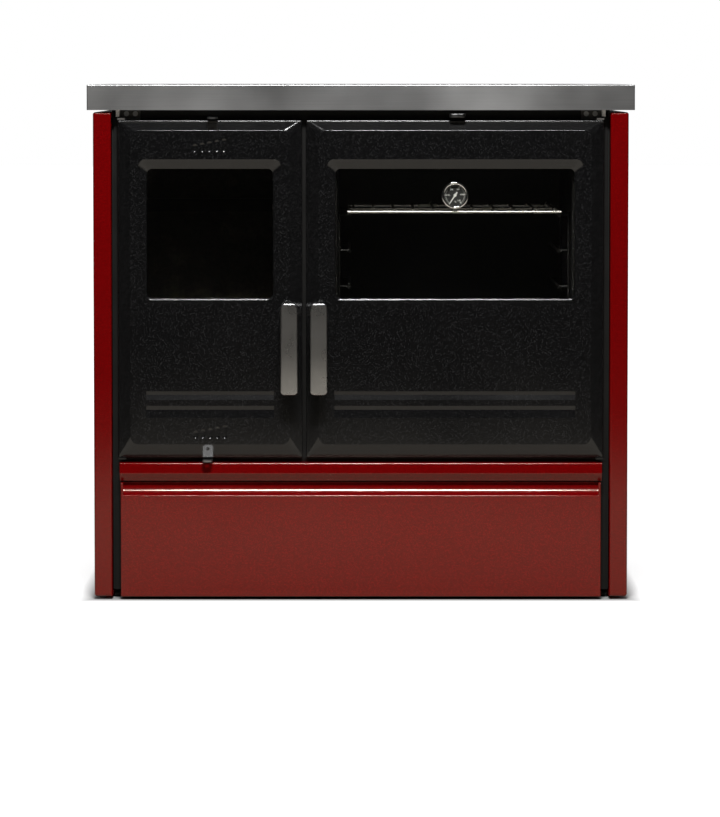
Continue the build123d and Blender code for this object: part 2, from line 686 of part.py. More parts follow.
def drawer_box():
    """Open sheet box behind the drawer front."""
    box = block(box_x, box_y, box_z)
    inside_z = (BOX_FLOOR + DRAWER_SHEET, box_z[1])
    return box - block(grow(box_x, -DRAWER_SHEET), grow(box_y, -DRAWER_SHEET), inside_z)


def drawer_runners():
    """Bars on both sides of the drawer box."""
    x = (box_half, box_half + RUNNER_WIDTH)
    return block(x, runner_y, runner_z) + block(mirrored(x), runner_y, runner_z)


def drawer_fixed_runners():
    """Channels on the carcass walls that hold the drawer's bars."""
    slot_x = (box_half + RUNNER_FIT, box_half + RUNNER_WIDTH + RUNNER_FIT)
    slot_z = grow(runner_z, RUNNER_FIT)
    x = (slot_x[0], carcass_inside)
    y = (frame_back + CARCASS_SHEET, runner_y[1])
    channel = block(x, y, grow(slot_z, CHANNEL_WALL)) - block(slot_x, y, slot_z)
    channel -= block((slot_x[1] + CHANNEL_WALL, carcass_inside), y, slot_z)
    return channel + mirror(channel, Plane.YZ)


# Doors

def door_panel(door):
    """Casting with bevelled borders, a beaded top edge, a window and, behind, a pocket for the liner."""
    x = (door.left, door.right)
    z = (door_foot, door_top)
    raised_x = grow(x, -BEVEL_SIDE)
    raised_z = (door_foot + BEVEL_BOTTOM, door_top - BEVEL_TOP)
    panel = slab(x, (door_edge, door_back), z, DOOR_CORNER)
    panel += loft([outline(x, door_edge, z, DOOR_CORNER),
                   outline(raised_x, door_front, raised_z, RAISED_RADIUS)], ruled=True)
    panel = fillet(edges_at_depth(panel, door_front), BORDER_RADIUS)
    glass_x = window_x(door)
    panel -= slab(glass_x, (door_front, door_back), window_z, WINDOW_RADIUS)
    panel -= window_brow(glass_x)
    panel = fillet(edges_at_depth(panel, door_edge), DOOR_EDGE_RADIUS)
    around_x = grow(glass_x, RECESS_WIDTH + BORDER_RADIUS)
    around_z = (window_z[0] - BORDER_RADIUS, window_z[1] + RECESS_WIDTH + BORDER_RADIUS)
    face_edges = edges_at_depth(panel, door_front)
    window_edges = face_edges.filter_by_position(Axis.X, *around_x).filter_by_position(Axis.Z, *around_z)
    panel = fillet(window_edges, FACE_RADIUS)
    panel += bar_x(grow(x, -DOOR_CORNER), door_edge, door_top - DOOR_BEAD_RADIUS, DOOR_BEAD_RADIUS)
    panel -= door_pocket(door)
    panel -= slab(grow(glass_x, GLASS_OVERLAP + GLASS_GAP), (glass_front, glass_back),
                  grow(window_z, GLASS_OVERLAP + GLASS_GAP), WINDOW_RADIUS)
    panel -= [bar_y(px, (glass_back - screw_depth, glass_back), pz, SCREW_RADIUS + SCREW_FIT)
              for px, pz, _ in clip_places(door)]
    panel -= gasket_channel(door)
    panel -= groove_cuts(door)
    panel -= bar_y(handle_x(door), (door_front, door_back), pivot_z, SPINDLE_RADIUS + SPINDLE_CLEARANCE)
    pin_hole = PIN_RADIUS + PIN_CLEARANCE
    panel -= bar_z(hinge_x(door), pin_y, (door_top - PIN_LENGTH, door_top), pin_hole)
    panel -= bar_z(hinge_x(door), pin_y, (door_foot, door_foot + PIN_LENGTH), pin_hole)
    return panel


def window_brow(glass_x):
    """Slope over the top of a window, wider than the glass and rounded at its ends."""
    inner_z = (window_z[1] - BROW_INNER_HEIGHT, window_z[1])
    outer_z = (window_z[1] - BROW_DROP, window_z[1] + RECESS_WIDTH)
    return loft([outline(glass_x, recess_back, inner_z, WINDOW_RADIUS),
                 outline(grow(glass_x, RECESS_WIDTH), door_front, outer_z, RECESS_RADIUS)], ruled=True)


def door_pocket(door):
    """Hollow behind the door's skin, less the thick seat round the glass and the spindle's boss."""
    x = grow((door.left, door.right), -LINER_INSET)
    z = grow((door_foot, door_top), -LINER_INSET)
    liner_bed = slab(x, (liner_front, door_back), z, LINER_CORNER)
    inner_x = grow(x, -LINER_LEDGE)
    inner_z = grow(z, -LINER_LEDGE)
    pocket = slab(inner_x, (skin_back, liner_front), inner_z, LINER_CORNER)
    seat = GLASS_OVERLAP + GLASS_GAP + GLASS_SEAT_WALL
    pocket -= slab(grow(window_x(door), seat), (skin_back, glass_back), grow(window_z, seat), RECESS_RADIUS)
    pocket -= bar_y(handle_x(door), (skin_back, liner_front), pivot_z, HANDLE_BOSS_RADIUS)
    return pocket + liner_bed


def gasket_channel(door):
    """Square channel round the back of the door that the rope gasket lies in."""
    x = grow((door.left, door.right), -GASKET_INSET)
    z = grow((door_foot, door_top), -GASKET_INSET)
    reach = GASKET_DIAMETER / 2 + GASKET_FIT
    depth = (door_back - reach, door_back)
    channel = slab(grow(x, reach), depth, grow(z, reach), GASKET_CORNER + reach)
    return channel - slab(grow(x, -reach), depth, grow(z, -reach), GASKET_CORNER - reach)


def groove_cuts(door):
    """Long wedge grooves under the window and, on the firebox door, the rows of air marks."""
    x = grow(window_x(door), GROOVE_OVERRUN)
    cuts = Part()
    for top, height, lip in GROOVES:
        z = door_foot + top
        wedge = polygon([(door_front, z), (door_front + GROOVE_DEPTH, z - lip), (door_front, z - height)])
        cuts += along_x(wedge, x)
    if door.hinge < 0:
        for foot in (door_top - UPPER_MARKS_DROP, door_foot + LOWER_MARKS_RISE):
            cuts += mark_row(firebox_middle, foot)
    return cuts


def mark_row(centre, foot):
    """Row of shallow upright scoops with round ends, which grow to the right."""
    half = MARK_WIDTH / 2
    radius = (half ** 2 + MARK_DEPTH ** 2) / (2 * MARK_DEPTH)
    axis_y = door_front + MARK_DEPTH - radius
    marks = Part()
    for number in range(MARK_COUNT):
        height = MARK_FIRST_HEIGHT + number * MARK_STEP
        x = centre + (number - (MARK_COUNT - 1) / 2) * MARK_PITCH
        ends = grow((foot, foot + height), -half)
        marks += bar_z(x, axis_y, ends, radius)
        marks += [Pos(x, axis_y, z) * Sphere(radius) for z in ends]
    return marks


def door_glass(door):
    """Ceramic glass seated from behind; the oven's has a hole for the thermometer."""
    x = grow(window_x(door), GLASS_OVERLAP)
    z = grow(window_z, GLASS_OVERLAP)
    pane = slab(x, (glass_front, glass_back), z, WINDOW_RADIUS)
    if door.hinge > 0:
        hole = GAUGE_STEM_RADIUS + GAUGE_STEM_FIT
        pane -= bar_y(gauge_x, (glass_front, glass_back), gauge_z, hole)
    return pane


screw_depth = (glass_back - skin_back) - SCREW_FIT


def clip_places(door):
    """Screw places of the glass clips, with the direction from each screw to the glass."""
    x = grow(window_x(door), GLASS_OVERLAP)
    z = grow(window_z, GLASS_OVERLAP)
    out = GLASS_GAP + GLASS_SEAT_WALL / 2
    columns = (x[0] + CLIP_INSET, x[1] - CLIP_INSET)
    return [(column, row, toward) for column in columns
            for row, toward in ((z[1] + out, -1), (z[0] - out, 1))]


def glass_clips(door):
    """Flat clips that lap over the glass from its seat."""
    clips = Part()
    for x, z, toward in clip_places(door):
        ends = sorted((z - toward * GLASS_SEAT_WALL / 2, z + toward * (GLASS_SEAT_WALL / 2 + GLASS_OVERLAP)))
        clip = block(grow((x, x), CLIP_WIDTH / 2), (glass_back, glass_back + CLIP_SHEET), ends)
        clips += clip - bar_y(x, (glass_back, glass_back + CLIP_SHEET), z, SCREW_RADIUS + SCREW_FIT)
    return clips


def clip_screws(door):
    """Screws that hold the clips, with their heads towards the fire."""
    screws = Part()
    seat = glass_back + CLIP_SHEET
    for x, z, _ in clip_places(door):
        one = Pos(0, 2 * seat, 0) * mirror(screw(x, seat, z, CLIP_SHEET + screw_depth), Plane.XZ)
        screws += one
    return screws


def door_gasket(door):
    """Rope gasket lying half in its channel."""
    x = grow((door.left, door.right), -GASKET_INSET)
    z = grow((door_foot, door_top), -GASKET_INSET)
    loop = outline(x, door_back, z, GASKET_CORNER).face().outer_wire()
    start = loop.position_at(0)
    plane = Plane(origin=start, z_dir=loop.tangent_at(0))
    return sweep(plane * Circle(GASKET_DIAMETER / 2), path=loop)


def door_liner(door):
    """Sheet that closes the door's pocket, open round the glass and its clips."""
    x = grow((door.left, door.right), -LINER_INSET - SCREW_FIT)
    z = grow((door_foot, door_top), -LINER_INSET - SCREW_FIT)
    sheet = slab(x, (liner_front, door_back), z, LINER_CORNER)
    clear = GLASS_OVERLAP + GLASS_GAP + GLASS_SEAT_WALL
    sheet -= slab(grow(window_x(door), clear), (liner_front, door_back), grow(window_z, clear), RECESS_RADIUS)
    spindle_hole = SPINDLE_RADIUS + SPINDLE_CLEARANCE
    return sheet - bar_y(handle_x(door), (liner_front, door_back), pivot_z, spindle_hole)


# Hinges

def bracket_screw_places():
    """Screws of the two upper hinge brackets."""
    places = []
    for side in (-1, 1):
        centre = side * (bracket_outside - BRACKET_WIDTH / 2 - BRACKET_SCREW_SHIFT)
        z = (door_top + rim_foot) / 2 + SCREW_HEAD_RADIUS / 2
        places += [(centre + step * BRACKET_SCREW_PITCH / 2, z) for step in (-1, 1)]
    return places


def hinge_brackets():
    """Upper brackets and lower lugs on the front frame, each with its pin."""
    brackets = Part()
    plate_y = (frame_front - BRACKET_PLATE, frame_front)
    for door in (firebox_door, oven_door):
        x = hinge_x(door)
        outer = door.hinge * door_half
        lug_x = sorted((outer, outer - door.hinge * LUG_WIDTH))
        lug_y = (pin_y - LUG_NOSE, frame_front)
        upper_z = door_top + HINGE_GAP
        plate_outer = door.hinge * bracket_outside
        plate_x = sorted((plate_outer, plate_outer - door.hinge * BRACKET_WIDTH))
        upper = block(lug_x, lug_y, (upper_z, upper_z + LUG_THICKNESS))
        upper += block(plate_x, plate_y, (upper_z, upper_z + BRACKET_HEIGHT))
        upper += bar_z(x, pin_y, (door_top - PIN_LENGTH + HINGE_GAP, upper_z), PIN_RADIUS)
        lower_z = door_foot - HINGE_GAP
        lower = block(lug_x, lug_y, (lower_z - LUG_THICKNESS, lower_z))
        lower += bar_z(x, pin_y, (lower_z, door_foot + PIN_LENGTH - HINGE_GAP), PIN_RADIUS)
        brackets += [upper, lower]
    brackets -= [bar_y(x, plate_y, z, SCREW_RADIUS + SCREW_FIT) for x, z in bracket_screw_places()]
    return brackets


def bracket_screws():
    """Screws through the upper brackets into the front frame."""
    seat = frame_front - BRACKET_PLATE
    screws = Part()
    for x, z in bracket_screw_places():
        screws += screw(x, seat, z, BRACKET_PLATE + FRAME_PLATE)
    return screws


# Handles and latches

handle_z = (pivot_z + HANDLE_ABOVE_PIVOT - HANDLE_LENGTH, pivot_z + HANDLE_ABOVE_PIVOT)


def handle(door):
    """Flat lever whose foot bends back a little, with a boss that holds the spindle."""
    knee_z = middle(handle_z)
    bend = [TangentArc((y, knee_z), (y + HANDLE_LEAN, handle_z[0]), tangent=(0, -1))
            for y in (handle_front, handle_back)]
    straight = Polyline(bend[1] @ 0, (handle_back, handle_z[1]), (handle_front, handle_z[1]), bend[0] @ 0)
    foot = Line(bend[0] @ 1, bend[1] @ 1)
    x = handle_x(door)
    widest = max(HANDLE_WIDTH, HANDLE_FOOT_WIDTH) / 2
    lever = along_x(make_face(straight + bend[0] + foot + bend[1]), (x - widest, x + widest))
    lever &= extrude(lever_outline(x), door_front - handle_front)
    lever = fillet(lever.edges(), HANDLE_EDGE)
    boss_y = (handle_back - HANDLE_THICKNESS / 2, door_front - HANDLE_FIT)
    lever += bar_y(x, boss_y, pivot_z, HANDLE_BOSS_RADIUS)
    return lever - bar_y(x, spindle_y(), pivot_z, SPINDLE_RADIUS)


def lever_outline(x):
    """Front outline of a lever, a little wider at its foot, with rounded corners."""
    top = HANDLE_WIDTH / 2
    foot = HANDLE_FOOT_WIDTH / 2
    shape = polygon([(-foot, handle_z[0]), (foot, handle_z[0]), (top, handle_z[1]), (-top, handle_z[1])])
    return front_plane(x, door_front, 0) * fillet(shape.vertices(), HANDLE_CORNER)


def spindle_y():
    """Depth span of a handle's spindle, from inside its boss to the back of the latch."""
    return (handle_back, latch_y[1])


def handle_spindle(door):
    """Round spindle that joins the lever to its latch through the door."""
    return bar_y(handle_x(door), spindle_y(), pivot_z, SPINDLE_RADIUS)


def latch_cam(door):
    """Latch on the spindle: its nose stands up at rest and turns behind the keeper with the lever."""
    x = handle_x(door)
    cam = bar_y(x, latch_y, pivot_z, LATCH_HUB_RADIUS)
    nose_z = (pivot_z, pivot_z + LATCH_REACH)
    cam += slab(grow((x, x), LATCH_WIDTH / 2), latch_y, nose_z, LATCH_WIDTH / 3)
    return cam - bar_y(x, latch_y, pivot_z, SPINDLE_RADIUS)


def latch_keepers():
    """Hardened strips on the back of the front frame, one for each latch."""
    z = grow((pivot_z, pivot_z), KEEPER_HEIGHT / 2)
    depth = (frame_back, keeper_back)
    firebox_edge = mouth_x[1]
    oven_edge = oven_door.left + MOUTH_MARGIN
    keepers = block((firebox_edge, firebox_edge + KEEPER_WIDTH), depth, z)
    return keepers + block((oven_edge - KEEPER_WIDTH, oven_edge), depth, z)


# Thermometer

gauge_x = middle(window_x(oven_door))
gauge_z = window_z[1] - GAUGE_DROP
gauge_front = glass_front - GAUGE_DEPTH
dial_back = glass_front - GAUGE_WALL
dial_front = dial_back - DIAL_THICKNESS
lens_front = gauge_front + LENS_INSET
lens_back = lens_front + LENS_THICKNESS
needle_back = (lens_back + dial_front) / 2 + NEEDLE_THICKNESS / 2


def thermometer_case():
    """Cup with a turned bezel on the glass, and a hollow stem through it."""
    case = bar_y(gauge_x, (gauge_front, glass_front), gauge_z, GAUGE_RADIUS)
    case -= bar_y(gauge_x, (gauge_front, lens_front), gauge_z, GAUGE_RADIUS - BEZEL_WIDTH)
    case = fillet(edges_at_depth(case, gauge_front), BEZEL_ROUND)
    case -= bar_y(gauge_x, (lens_front, dial_back), gauge_z, GAUGE_RADIUS - GAUGE_WALL)
    stem = bar_y(gauge_x, (glass_front, glass_front + GAUGE_STEM_LENGTH), gauge_z, GAUGE_STEM_RADIUS)
    return case + stem


def thermometer_dial():
    """Dial disc on the floor of the case."""
    dial = bar_y(gauge_x, (dial_front, dial_back), gauge_z, GAUGE_RADIUS - GAUGE_WALL - SCREW_FIT)
    return dial - bar_y(gauge_x, (dial_front, dial_back), gauge_z, ARBOR_RADIUS + ARBOR_CLEARANCE)


def thermometer_lens():
    """Cover glass behind the bezel's lip."""
    return bar_y(gauge_x, (lens_front, lens_back), gauge_z, GAUGE_RADIUS - GAUGE_WALL - SCREW_FIT)


def thermometer_needle():
    """Pointer with a hub, on an arbor that turns in the dial."""
    depth = (needle_back - NEEDLE_THICKNESS, needle_back)
    pointer = polygon([(-NEEDLE_WIDTH / 2, -NEEDLE_TAIL), (NEEDLE_WIDTH / 2, -NEEDLE_TAIL),
                       (NEEDLE_WIDTH / 4, NEEDLE_LENGTH), (-NEEDLE_WIDTH / 4, NEEDLE_LENGTH)])
    plane = front_plane(gauge_x, depth[1], gauge_z) * Rot(0, 0, -NEEDLE_ANGLE)
    needle = extrude(plane * pointer, NEEDLE_THICKNESS)
    needle += bar_y(gauge_x, grow(depth, NEEDLE_THICKNESS / 2), gauge_z, NEEDLE_HUB_RADIUS)
    return needle + bar_y(gauge_x, (depth[1], dial_back), gauge_z, ARBOR_RADIUS)


def thermometer_nut():
    """Hexagon nut that holds the thermometer from behind the glass."""
    plane = front_plane(gauge_x, glass_back + GAUGE_NUT_THICKNESS, gauge_z)
    nut = extrude(plane * RegularPolygon(GAUGE_NUT_RADIUS, 6), GAUGE_NUT_THICKNESS)
    hole = GAUGE_STEM_RADIUS + SCREW_FIT
    return nut - bar_y(gauge_x, (glass_back, glass_back + GAUGE_NUT_THICKNESS), gauge_z, hole)


# Air tabs and damper

def air_slide(x, z):
    """Plate behind the front frame with a tab that comes out through the frame's slot."""
    plate_y = (frame_back + AIR_FIT, frame_back + AIR_FIT + AIR_SHEET)
    plate = block(grow((x, x), AIR_PLATE_WIDTH / 2), plate_y, (z - AIR_PLATE_BELOW, z + AIR_PLATE_ABOVE))
    tab_front = door_front - TAB_REACH
    tab_z = grow((z, z), TAB_THICKNESS / 2)
    tab = block(grow((x, x), TAB_WIDTH / 2), (tab_front, plate_y[0]), tab_z)
    tab = fillet(tab.edges().filter_by(Axis.Z).sort_by(Axis.Y)[:2], TAB_WIDTH / 3)
    tab -= bar_z(x, tab_front + TAB_WIDTH / 2, tab_z, TAB_HOLE_RADIUS)
    return plate + tab


knob_y = (door_edge - KNOB_DEPTH, door_edge)


def damper_knob():
    """Flat oval knob on the end of the damper rod."""
    plane = Plane(origin=(damper_x, middle(knob_y), damper_z - KNOB_HEIGHT / 2))
    knob = extrude(plane * RectangleRounded(KNOB_WIDTH, KNOB_DEPTH, KNOB_DEPTH / 3), KNOB_HEIGHT)
    knob = fillet(knob.faces().sort_by(Axis.Z)[0].edges() + knob.faces().sort_by(Axis.Z)[-1].edges(),
                  KNOB_HEIGHT / 4)
    return knob - bar_y(damper_x, (knob_y[1] - KNOB_GRIP, knob_y[1]), damper_z, DAMPER_ROD_RADIUS)


def damper_rod():
    """Pull rod over the oven with a plate that closes the way behind it."""
    plate_back = rear_inside - DAMPER_PLATE_GAP
    plate_y = (plate_back - DAMPER_PLATE_DEPTH, plate_back)
    plate_foot = oven_z[1] + OVEN_SHEET + DAMPER_PLATE_GAP
    plate_top = plate_foot + DAMPER_PLATE_SHEET
    leg_y = middle(plate_y)
    rod = bar_y(damper_x, (knob_y[1] - KNOB_GRIP, leg_y), damper_z, DAMPER_ROD_RADIUS)
    rod += bar_z(damper_x, leg_y, (plate_top, damper_z), DAMPER_ROD_RADIUS)
    rod += Pos(damper_x, leg_y, damper_z) * Sphere(DAMPER_ROD_RADIUS)
    return rod + block(grow((damper_x, damper_x), DAMPER_PLATE_WIDTH / 2), plate_y, (plate_foot, plate_top))


# Firebox

ledge_x = (-carcass_inside, partition_x[0])
grate_hole_x = (brick_left_face + LEDGE_WIDTH, brick_right_face - LEDGE_WIDTH)
grate_hole_y = (brick_y[0] + LEDGE_WIDTH, brick_y[1] - BRICK_THICKNESS - LEDGE_WIDTH)
ledge_top = grate_foot


def firebox_frame():
    """Welded partition towards the oven, ash shelf and grate ledge."""
    depth = (frame_back, brick_y[1])
    frame = block(partition_x, depth, (floor_top, brick_top))
    latch_room = (frame_back, frame_back + BRICK_SETBACK)
    frame -= block(partition_x, latch_room, grow((pivot_z, pivot_z), LATCH_SLOT_HEIGHT))
    inset = (-carcass_outside + WALL_FLANGE, ledge_x[1])
    front_strip = (frame_back, frame_back + CARCASS_SHEET)
    behind_flange = (front_strip[1], depth[1])
    shelf_z = (shelf_top - CARCASS_SHEET, shelf_top)
    frame += block(ledge_x, behind_flange, shelf_z) + block(inset, front_strip, shelf_z)
    ledge = block(ledge_x, (brick_y[0], depth[1]), (ledge_top - LEDGE_SHEET, ledge_top))
    ledge -= block(grate_hole_x, grate_hole_y, (ledge_top - LEDGE_SHEET, ledge_top))
    return frame + ledge


def firebox_side_bricks():
    """Upright firebricks on the grate ledge, left and right of the fire."""
    z = (ledge_top, brick_top)
    left = block((-carcass_inside, brick_left_face), brick_y, z)
    return left + block((brick_right_face, partition_x[0]), brick_y, z)


def firebox_rear_brick():
    """Firebrick behind the fire, between the side bricks."""
    depth = (brick_y[1] - BRICK_THICKNESS, brick_y[1])
    return block((brick_left_face, brick_right_face), depth, (ledge_top, brick_top))


def firebox_grate():
    """Cast grate with rows of slots, lying on the ledge."""
    x = grow(grate_hole_x, GRATE_BEARING)
    y = grow(grate_hole_y, GRATE_BEARING)
    z = (ledge_top, ledge_top + GRATE_THICKNESS)
    grate = block(x, y, z)
    room = (grate_hole_y[1] - grate_hole_y[0]) - GRATE_SLOT_WIDTH
    slots = int(room // GRATE_SLOT_PITCH) + 1
    start = middle(grate_hole_y) - (slots - 1) * GRATE_SLOT_PITCH / 2
    slot_x = grow(grate_hole_x, -GRATE_SLOT_MARGIN)
    for number in range(slots):
        place = start + number * GRATE_SLOT_PITCH
        grate -= block(slot_x, grow((place, place), GRATE_SLOT_WIDTH / 2), z)
    return grate


def ash_pan():
    """Open sheet pan on the ash shelf, under the grate."""
    x = grow((brick_left_face, brick_right_face), -ASH_PAN_GAP)
    y = (frame_back + ASH_PAN_SETBACK, frame_back + ASH_PAN_SETBACK + ASH_PAN_DEPTH)
    z = (shelf_top, shelf_top + ASH_PAN_HEIGHT)
    pan = block(x, y, z)
    return pan - block(grow(x, -ASH_PAN_SHEET), grow(y, -ASH_PAN_SHEET), (shelf_top + ASH_PAN_SHEET, z[1]))


def air_manifold():
    """Perforated square tube across the rear brick that feeds air over the fire."""
    x = (brick_left_face, brick_right_face)
    back = brick_y[1] - BRICK_THICKNESS
    y = (back - AIR_BAR_DEPTH, back)
    centre = door_top - AIR_BAR_DROP
    z = grow((centre, centre), AIR_BAR_HEIGHT / 2)
    tube = block(x, y, z) - block(x, grow(y, -AIR_BAR_WALL), grow(z, -AIR_BAR_WALL))
    holes = int((x[1] - x[0] - AIR_HOLE_PITCH) // AIR_HOLE_PITCH)
    start = middle(x) - (holes - 1) * AIR_HOLE_PITCH / 2
    depth = (y[0], y[0] + AIR_BAR_WALL)
    return tube - [bar_y(start + n * AIR_HOLE_PITCH, depth, centre, AIR_HOLE_RADIUS) for n in range(holes)]


# Oven

rack_z = door_top - RACK_DROP
rack_top = rack_z + RACK_FRAME_RADIUS + 1.5 * RACK_WIRE_RADIUS
rack_x = grow(oven_x, -RACK_SIDE_GAP)
rack_y = (oven_y[0] + RACK_SETBACK, oven_y[0] + RACK_SETBACK + RACK_DEPTH)


def oven_liner():
    """Sheet box behind the oven door, open at its front."""
    outside = block(grow(oven_x, OVEN_SHEET), (oven_y[0], oven_y[1] + OVEN_SHEET), grow(oven_z, OVEN_SHEET))
    return outside - block(oven_x, oven_y, oven_z)


def oven_side_rails():
    """Wire ladders on the oven's side walls, whose rungs carry the rack."""
    rung_top = rack_z - RACK_FRAME_RADIUS - RAIL_FIT
    rungs = [rung_top - RAIL_RADIUS - level * RAIL_PITCH for level in range(RAIL_LEVELS)]
    posts_y = (rack_y[0] + 2 * RACK_SIDE_GAP, rack_y[1] - 2 * RACK_SIDE_GAP)
    rails = Part()
    for wall, side in ((oven_x[0], 1), (oven_x[1], -1)):
        post_x = wall + side * (RAIL_RADIUS + RAIL_FIT)
        rung_x = wall + side * (RACK_SIDE_GAP + RACK_FRAME_RADIUS)
        ladder = Part()
        for y in posts_y:
            ladder += bar_z(post_x, y, grow((rungs[-1], rungs[0]), 2 * RAIL_RADIUS), RAIL_RADIUS)
            for z in rungs:
                ladder += bar_x(sorted((post_x, rung_x)), y, z, RAIL_STUB_RADIUS)
        for z in rungs:
            ladder += bar_y(rung_x, grow(posts_y, 2 * RACK_SIDE_GAP), z, RAIL_RADIUS)
        rails += ladder
    return rails


def oven_rack():
    """Rack of wires that lie on three cross bars; their ends stand over the front bar."""
    wire_x = grow(rack_x, -RACK_OVERRUN)
    wire_y = grow(rack_y, RACK_FRAME_RADIUS)
    step = (wire_x[1] - wire_x[0]) / (RACK_WIRES - 1)
    rack = Part()
    for y in (rack_y[0], middle(rack_y), rack_y[1]):
        rack += bar_x(rack_x, y, rack_z, RACK_FRAME_RADIUS)
    for number in range(RACK_WIRES):
        rack += bar_y(wire_x[0] + number * step, wire_y, rack_top - RACK_WIRE_RADIUS, RACK_WIRE_RADIUS)
    return rack


# Flue collar

def flue_collar():
    """Cast collar on the rear panel that takes the flue pipe."""
    collar = bar_y(oven_middle, (rear_outside, rear_outside + FLUE_FLANGE), flue_z, FLUE_FLANGE_RADIUS)
    collar += bar_y(oven_middle, (rear_outside, flue_end), flue_z, FLUE_RADIUS + FLUE_WALL)
    return collar - bar_y(oven_middle, (rear_outside, flue_end), flue_z, FLUE_RADIUS)


def all_parts():
    """Every sub-part by its node's name."""
    parts = {
        "worktop_frame": worktop_frame(),
        "worktop_bearers": worktop_bearers(),
        "hob_plate": hob_plate(),
        "hob_ring": hob_ring(),
        "hob_lid": hob_lid(),
        "left_side_panel": side_panel(-1),
        "right_side_panel": side_panel(1),
        "carcass_left_wall": carcass_wall(-1),
        "carcass_right_wall": carcass_wall(1),
        "carcass_floor": carcass_floor(),
        "rear_panel": rear_panel(),
        "front_frame": front_frame(),
        "base_frame": base_frame(),
        "levelling_feet": levelling_feet(),
        "trim_bar": trim_bar(),
        "drawer_front": drawer_front(),
        "drawer_box": drawer_box(),
        "drawer_runners": drawer_runners(),
        "drawer_fixed_runners": drawer_fixed_runners(),
        "hinge_brackets": hinge_brackets(),
        "bracket_screws": bracket_screws(),
        "latch_keepers": latch_keepers(),
        "thermometer_case": thermometer_case(),
        "thermometer_dial": thermometer_dial(),
        "thermometer_lens": thermometer_lens(),
        "thermometer_needle": thermometer_needle(),
        "thermometer_nut": thermometer_nut(),
        "secondary_air_slide": air_slide(secondary_x, secondary_z),
        "primary_air_slide": air_slide(primary_x, primary_z),
        "damper_rod": damper_rod(),
        "damper_knob": damper_knob(),
        "firebox_frame": firebox_frame(),
        "firebox_side_bricks": firebox_side_bricks(),
        "firebox_rear_brick": firebox_rear_brick(),
        "firebox_grate": firebox_grate(),
        "ash_pan": ash_pan(),
        "air_manifold": air_manifold(),
        "oven_liner": oven_liner(),
        "oven_side_rails": oven_side_rails(),
        "oven_rack": oven_rack(),
        "flue_collar": flue_collar(),
    }
    for name, door in (("firebox", firebox_door), ("oven", oven_door)):
        parts[f"{name}_door_panel"] = door_panel(door)
        parts[f"{name}_door_liner"] = door_liner(door)
        parts[f"{name}_door_gasket"] = door_gasket(door)
        parts[f"{name}_glass"] = door_glass(door)
        parts[f"{name}_glass_clips"] = glass_clips(door)
        parts[f"{name}_clip_screws"] = clip_screws(door)
        parts[f"{name}_handle"] = handle(door)
        parts[f"{name}_spindle"] = handle_spindle(door)
        parts[f"{name}_latch_cam"] = latch_cam(door)
    return parts


os.makedirs("parts", exist_ok=True)
for node, solid in all_parts().items():
    export_step(solid, f"parts/{node}.step")
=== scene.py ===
import functools
import math

import bmesh
import bpy
from bpy.props import FloatProperty, FloatVectorProperty, IntProperty, PointerProperty
from mathutils import Matrix, Vector


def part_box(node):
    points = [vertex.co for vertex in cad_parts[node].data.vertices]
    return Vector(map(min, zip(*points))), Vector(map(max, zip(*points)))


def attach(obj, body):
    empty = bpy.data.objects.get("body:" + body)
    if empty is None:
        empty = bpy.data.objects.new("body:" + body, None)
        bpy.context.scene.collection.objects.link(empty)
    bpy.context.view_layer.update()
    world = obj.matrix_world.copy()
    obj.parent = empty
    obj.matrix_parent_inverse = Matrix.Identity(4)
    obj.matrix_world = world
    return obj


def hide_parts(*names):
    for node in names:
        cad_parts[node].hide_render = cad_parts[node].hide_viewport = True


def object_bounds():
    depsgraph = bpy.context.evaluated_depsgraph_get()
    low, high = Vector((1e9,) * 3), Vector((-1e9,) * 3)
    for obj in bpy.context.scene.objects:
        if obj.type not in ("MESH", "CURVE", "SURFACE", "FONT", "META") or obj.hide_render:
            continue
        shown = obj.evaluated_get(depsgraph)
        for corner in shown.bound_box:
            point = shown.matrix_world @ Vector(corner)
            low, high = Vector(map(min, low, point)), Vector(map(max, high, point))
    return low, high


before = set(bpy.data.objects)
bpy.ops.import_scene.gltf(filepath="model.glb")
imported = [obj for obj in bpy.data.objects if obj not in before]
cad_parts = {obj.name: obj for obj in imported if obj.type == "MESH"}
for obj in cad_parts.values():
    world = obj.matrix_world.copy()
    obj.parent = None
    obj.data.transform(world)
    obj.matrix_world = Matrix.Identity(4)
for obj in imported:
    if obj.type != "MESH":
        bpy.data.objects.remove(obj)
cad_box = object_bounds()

bl_info = {
    "name": "Wood cookstove",
    "version": (1, 0, 0),
    "blender": (4, 5, 0),
    "location": "View3D > Sidebar > Cookstove",
    "description": "Finishes and small fittings of a wood cookstove, and the studio it stands in",
    "category": "Add Mesh",
}

# Sockets of the colour Mix node, which share their names
MIX_FACTOR = 0
MIX_LOW = 6
MIX_HIGH = 7
MIX_RESULT = 2

# Sides and points of the round shapes that the scene adds
CIRCLE_STEPS = 48
HEAD_SIDES = 24
ROPE_SIDES = 8
STRAND_SIDES = 6
CORNER_STEPS = 10

# Shapes of a screw head, as shares of its radius or height
HEAD_TAPER = 0.72
SLOT_LENGTH = 1.15
SLOT_WIDTH = 0.26
SLOT_LIFT = 0.95

# Places of the dial's marks and figures, as shares of their lengths, and degrees from figure to figure
BOLD_INSET = 0.7
FIGURE_INSET = 0.6
DIAL_STEP = 100

# Lengths over which one finish goes over into another
SLIDE_FADE = 0.006
# HINGE_FADE is the height over which the lower lugs' darker tone goes over into the painted light of the
# hinge plates
HINGE_FADE = 0.01

# How far the floor and the camera's sight reach
FLOOR_REACH = 30.0
SIGHT_REACH = 100.0

# Share of the way to the rear at which the dim room begins to turn white, and is white
BACKDROP_START = 0.35
BACKDROP_END = 0.65


def colour(name, description, default):
    """A colour that a user may change."""
    return FloatVectorProperty(
        name=name, description=description, subtype="COLOR", size=3, min=0.0, max=1.0, default=default
    )


def length(name, description, default):
    """A length in metres that a user may change."""
    return FloatProperty(
        name=name, description=description, unit="LENGTH", min=0.0, precision=5, default=default
    )


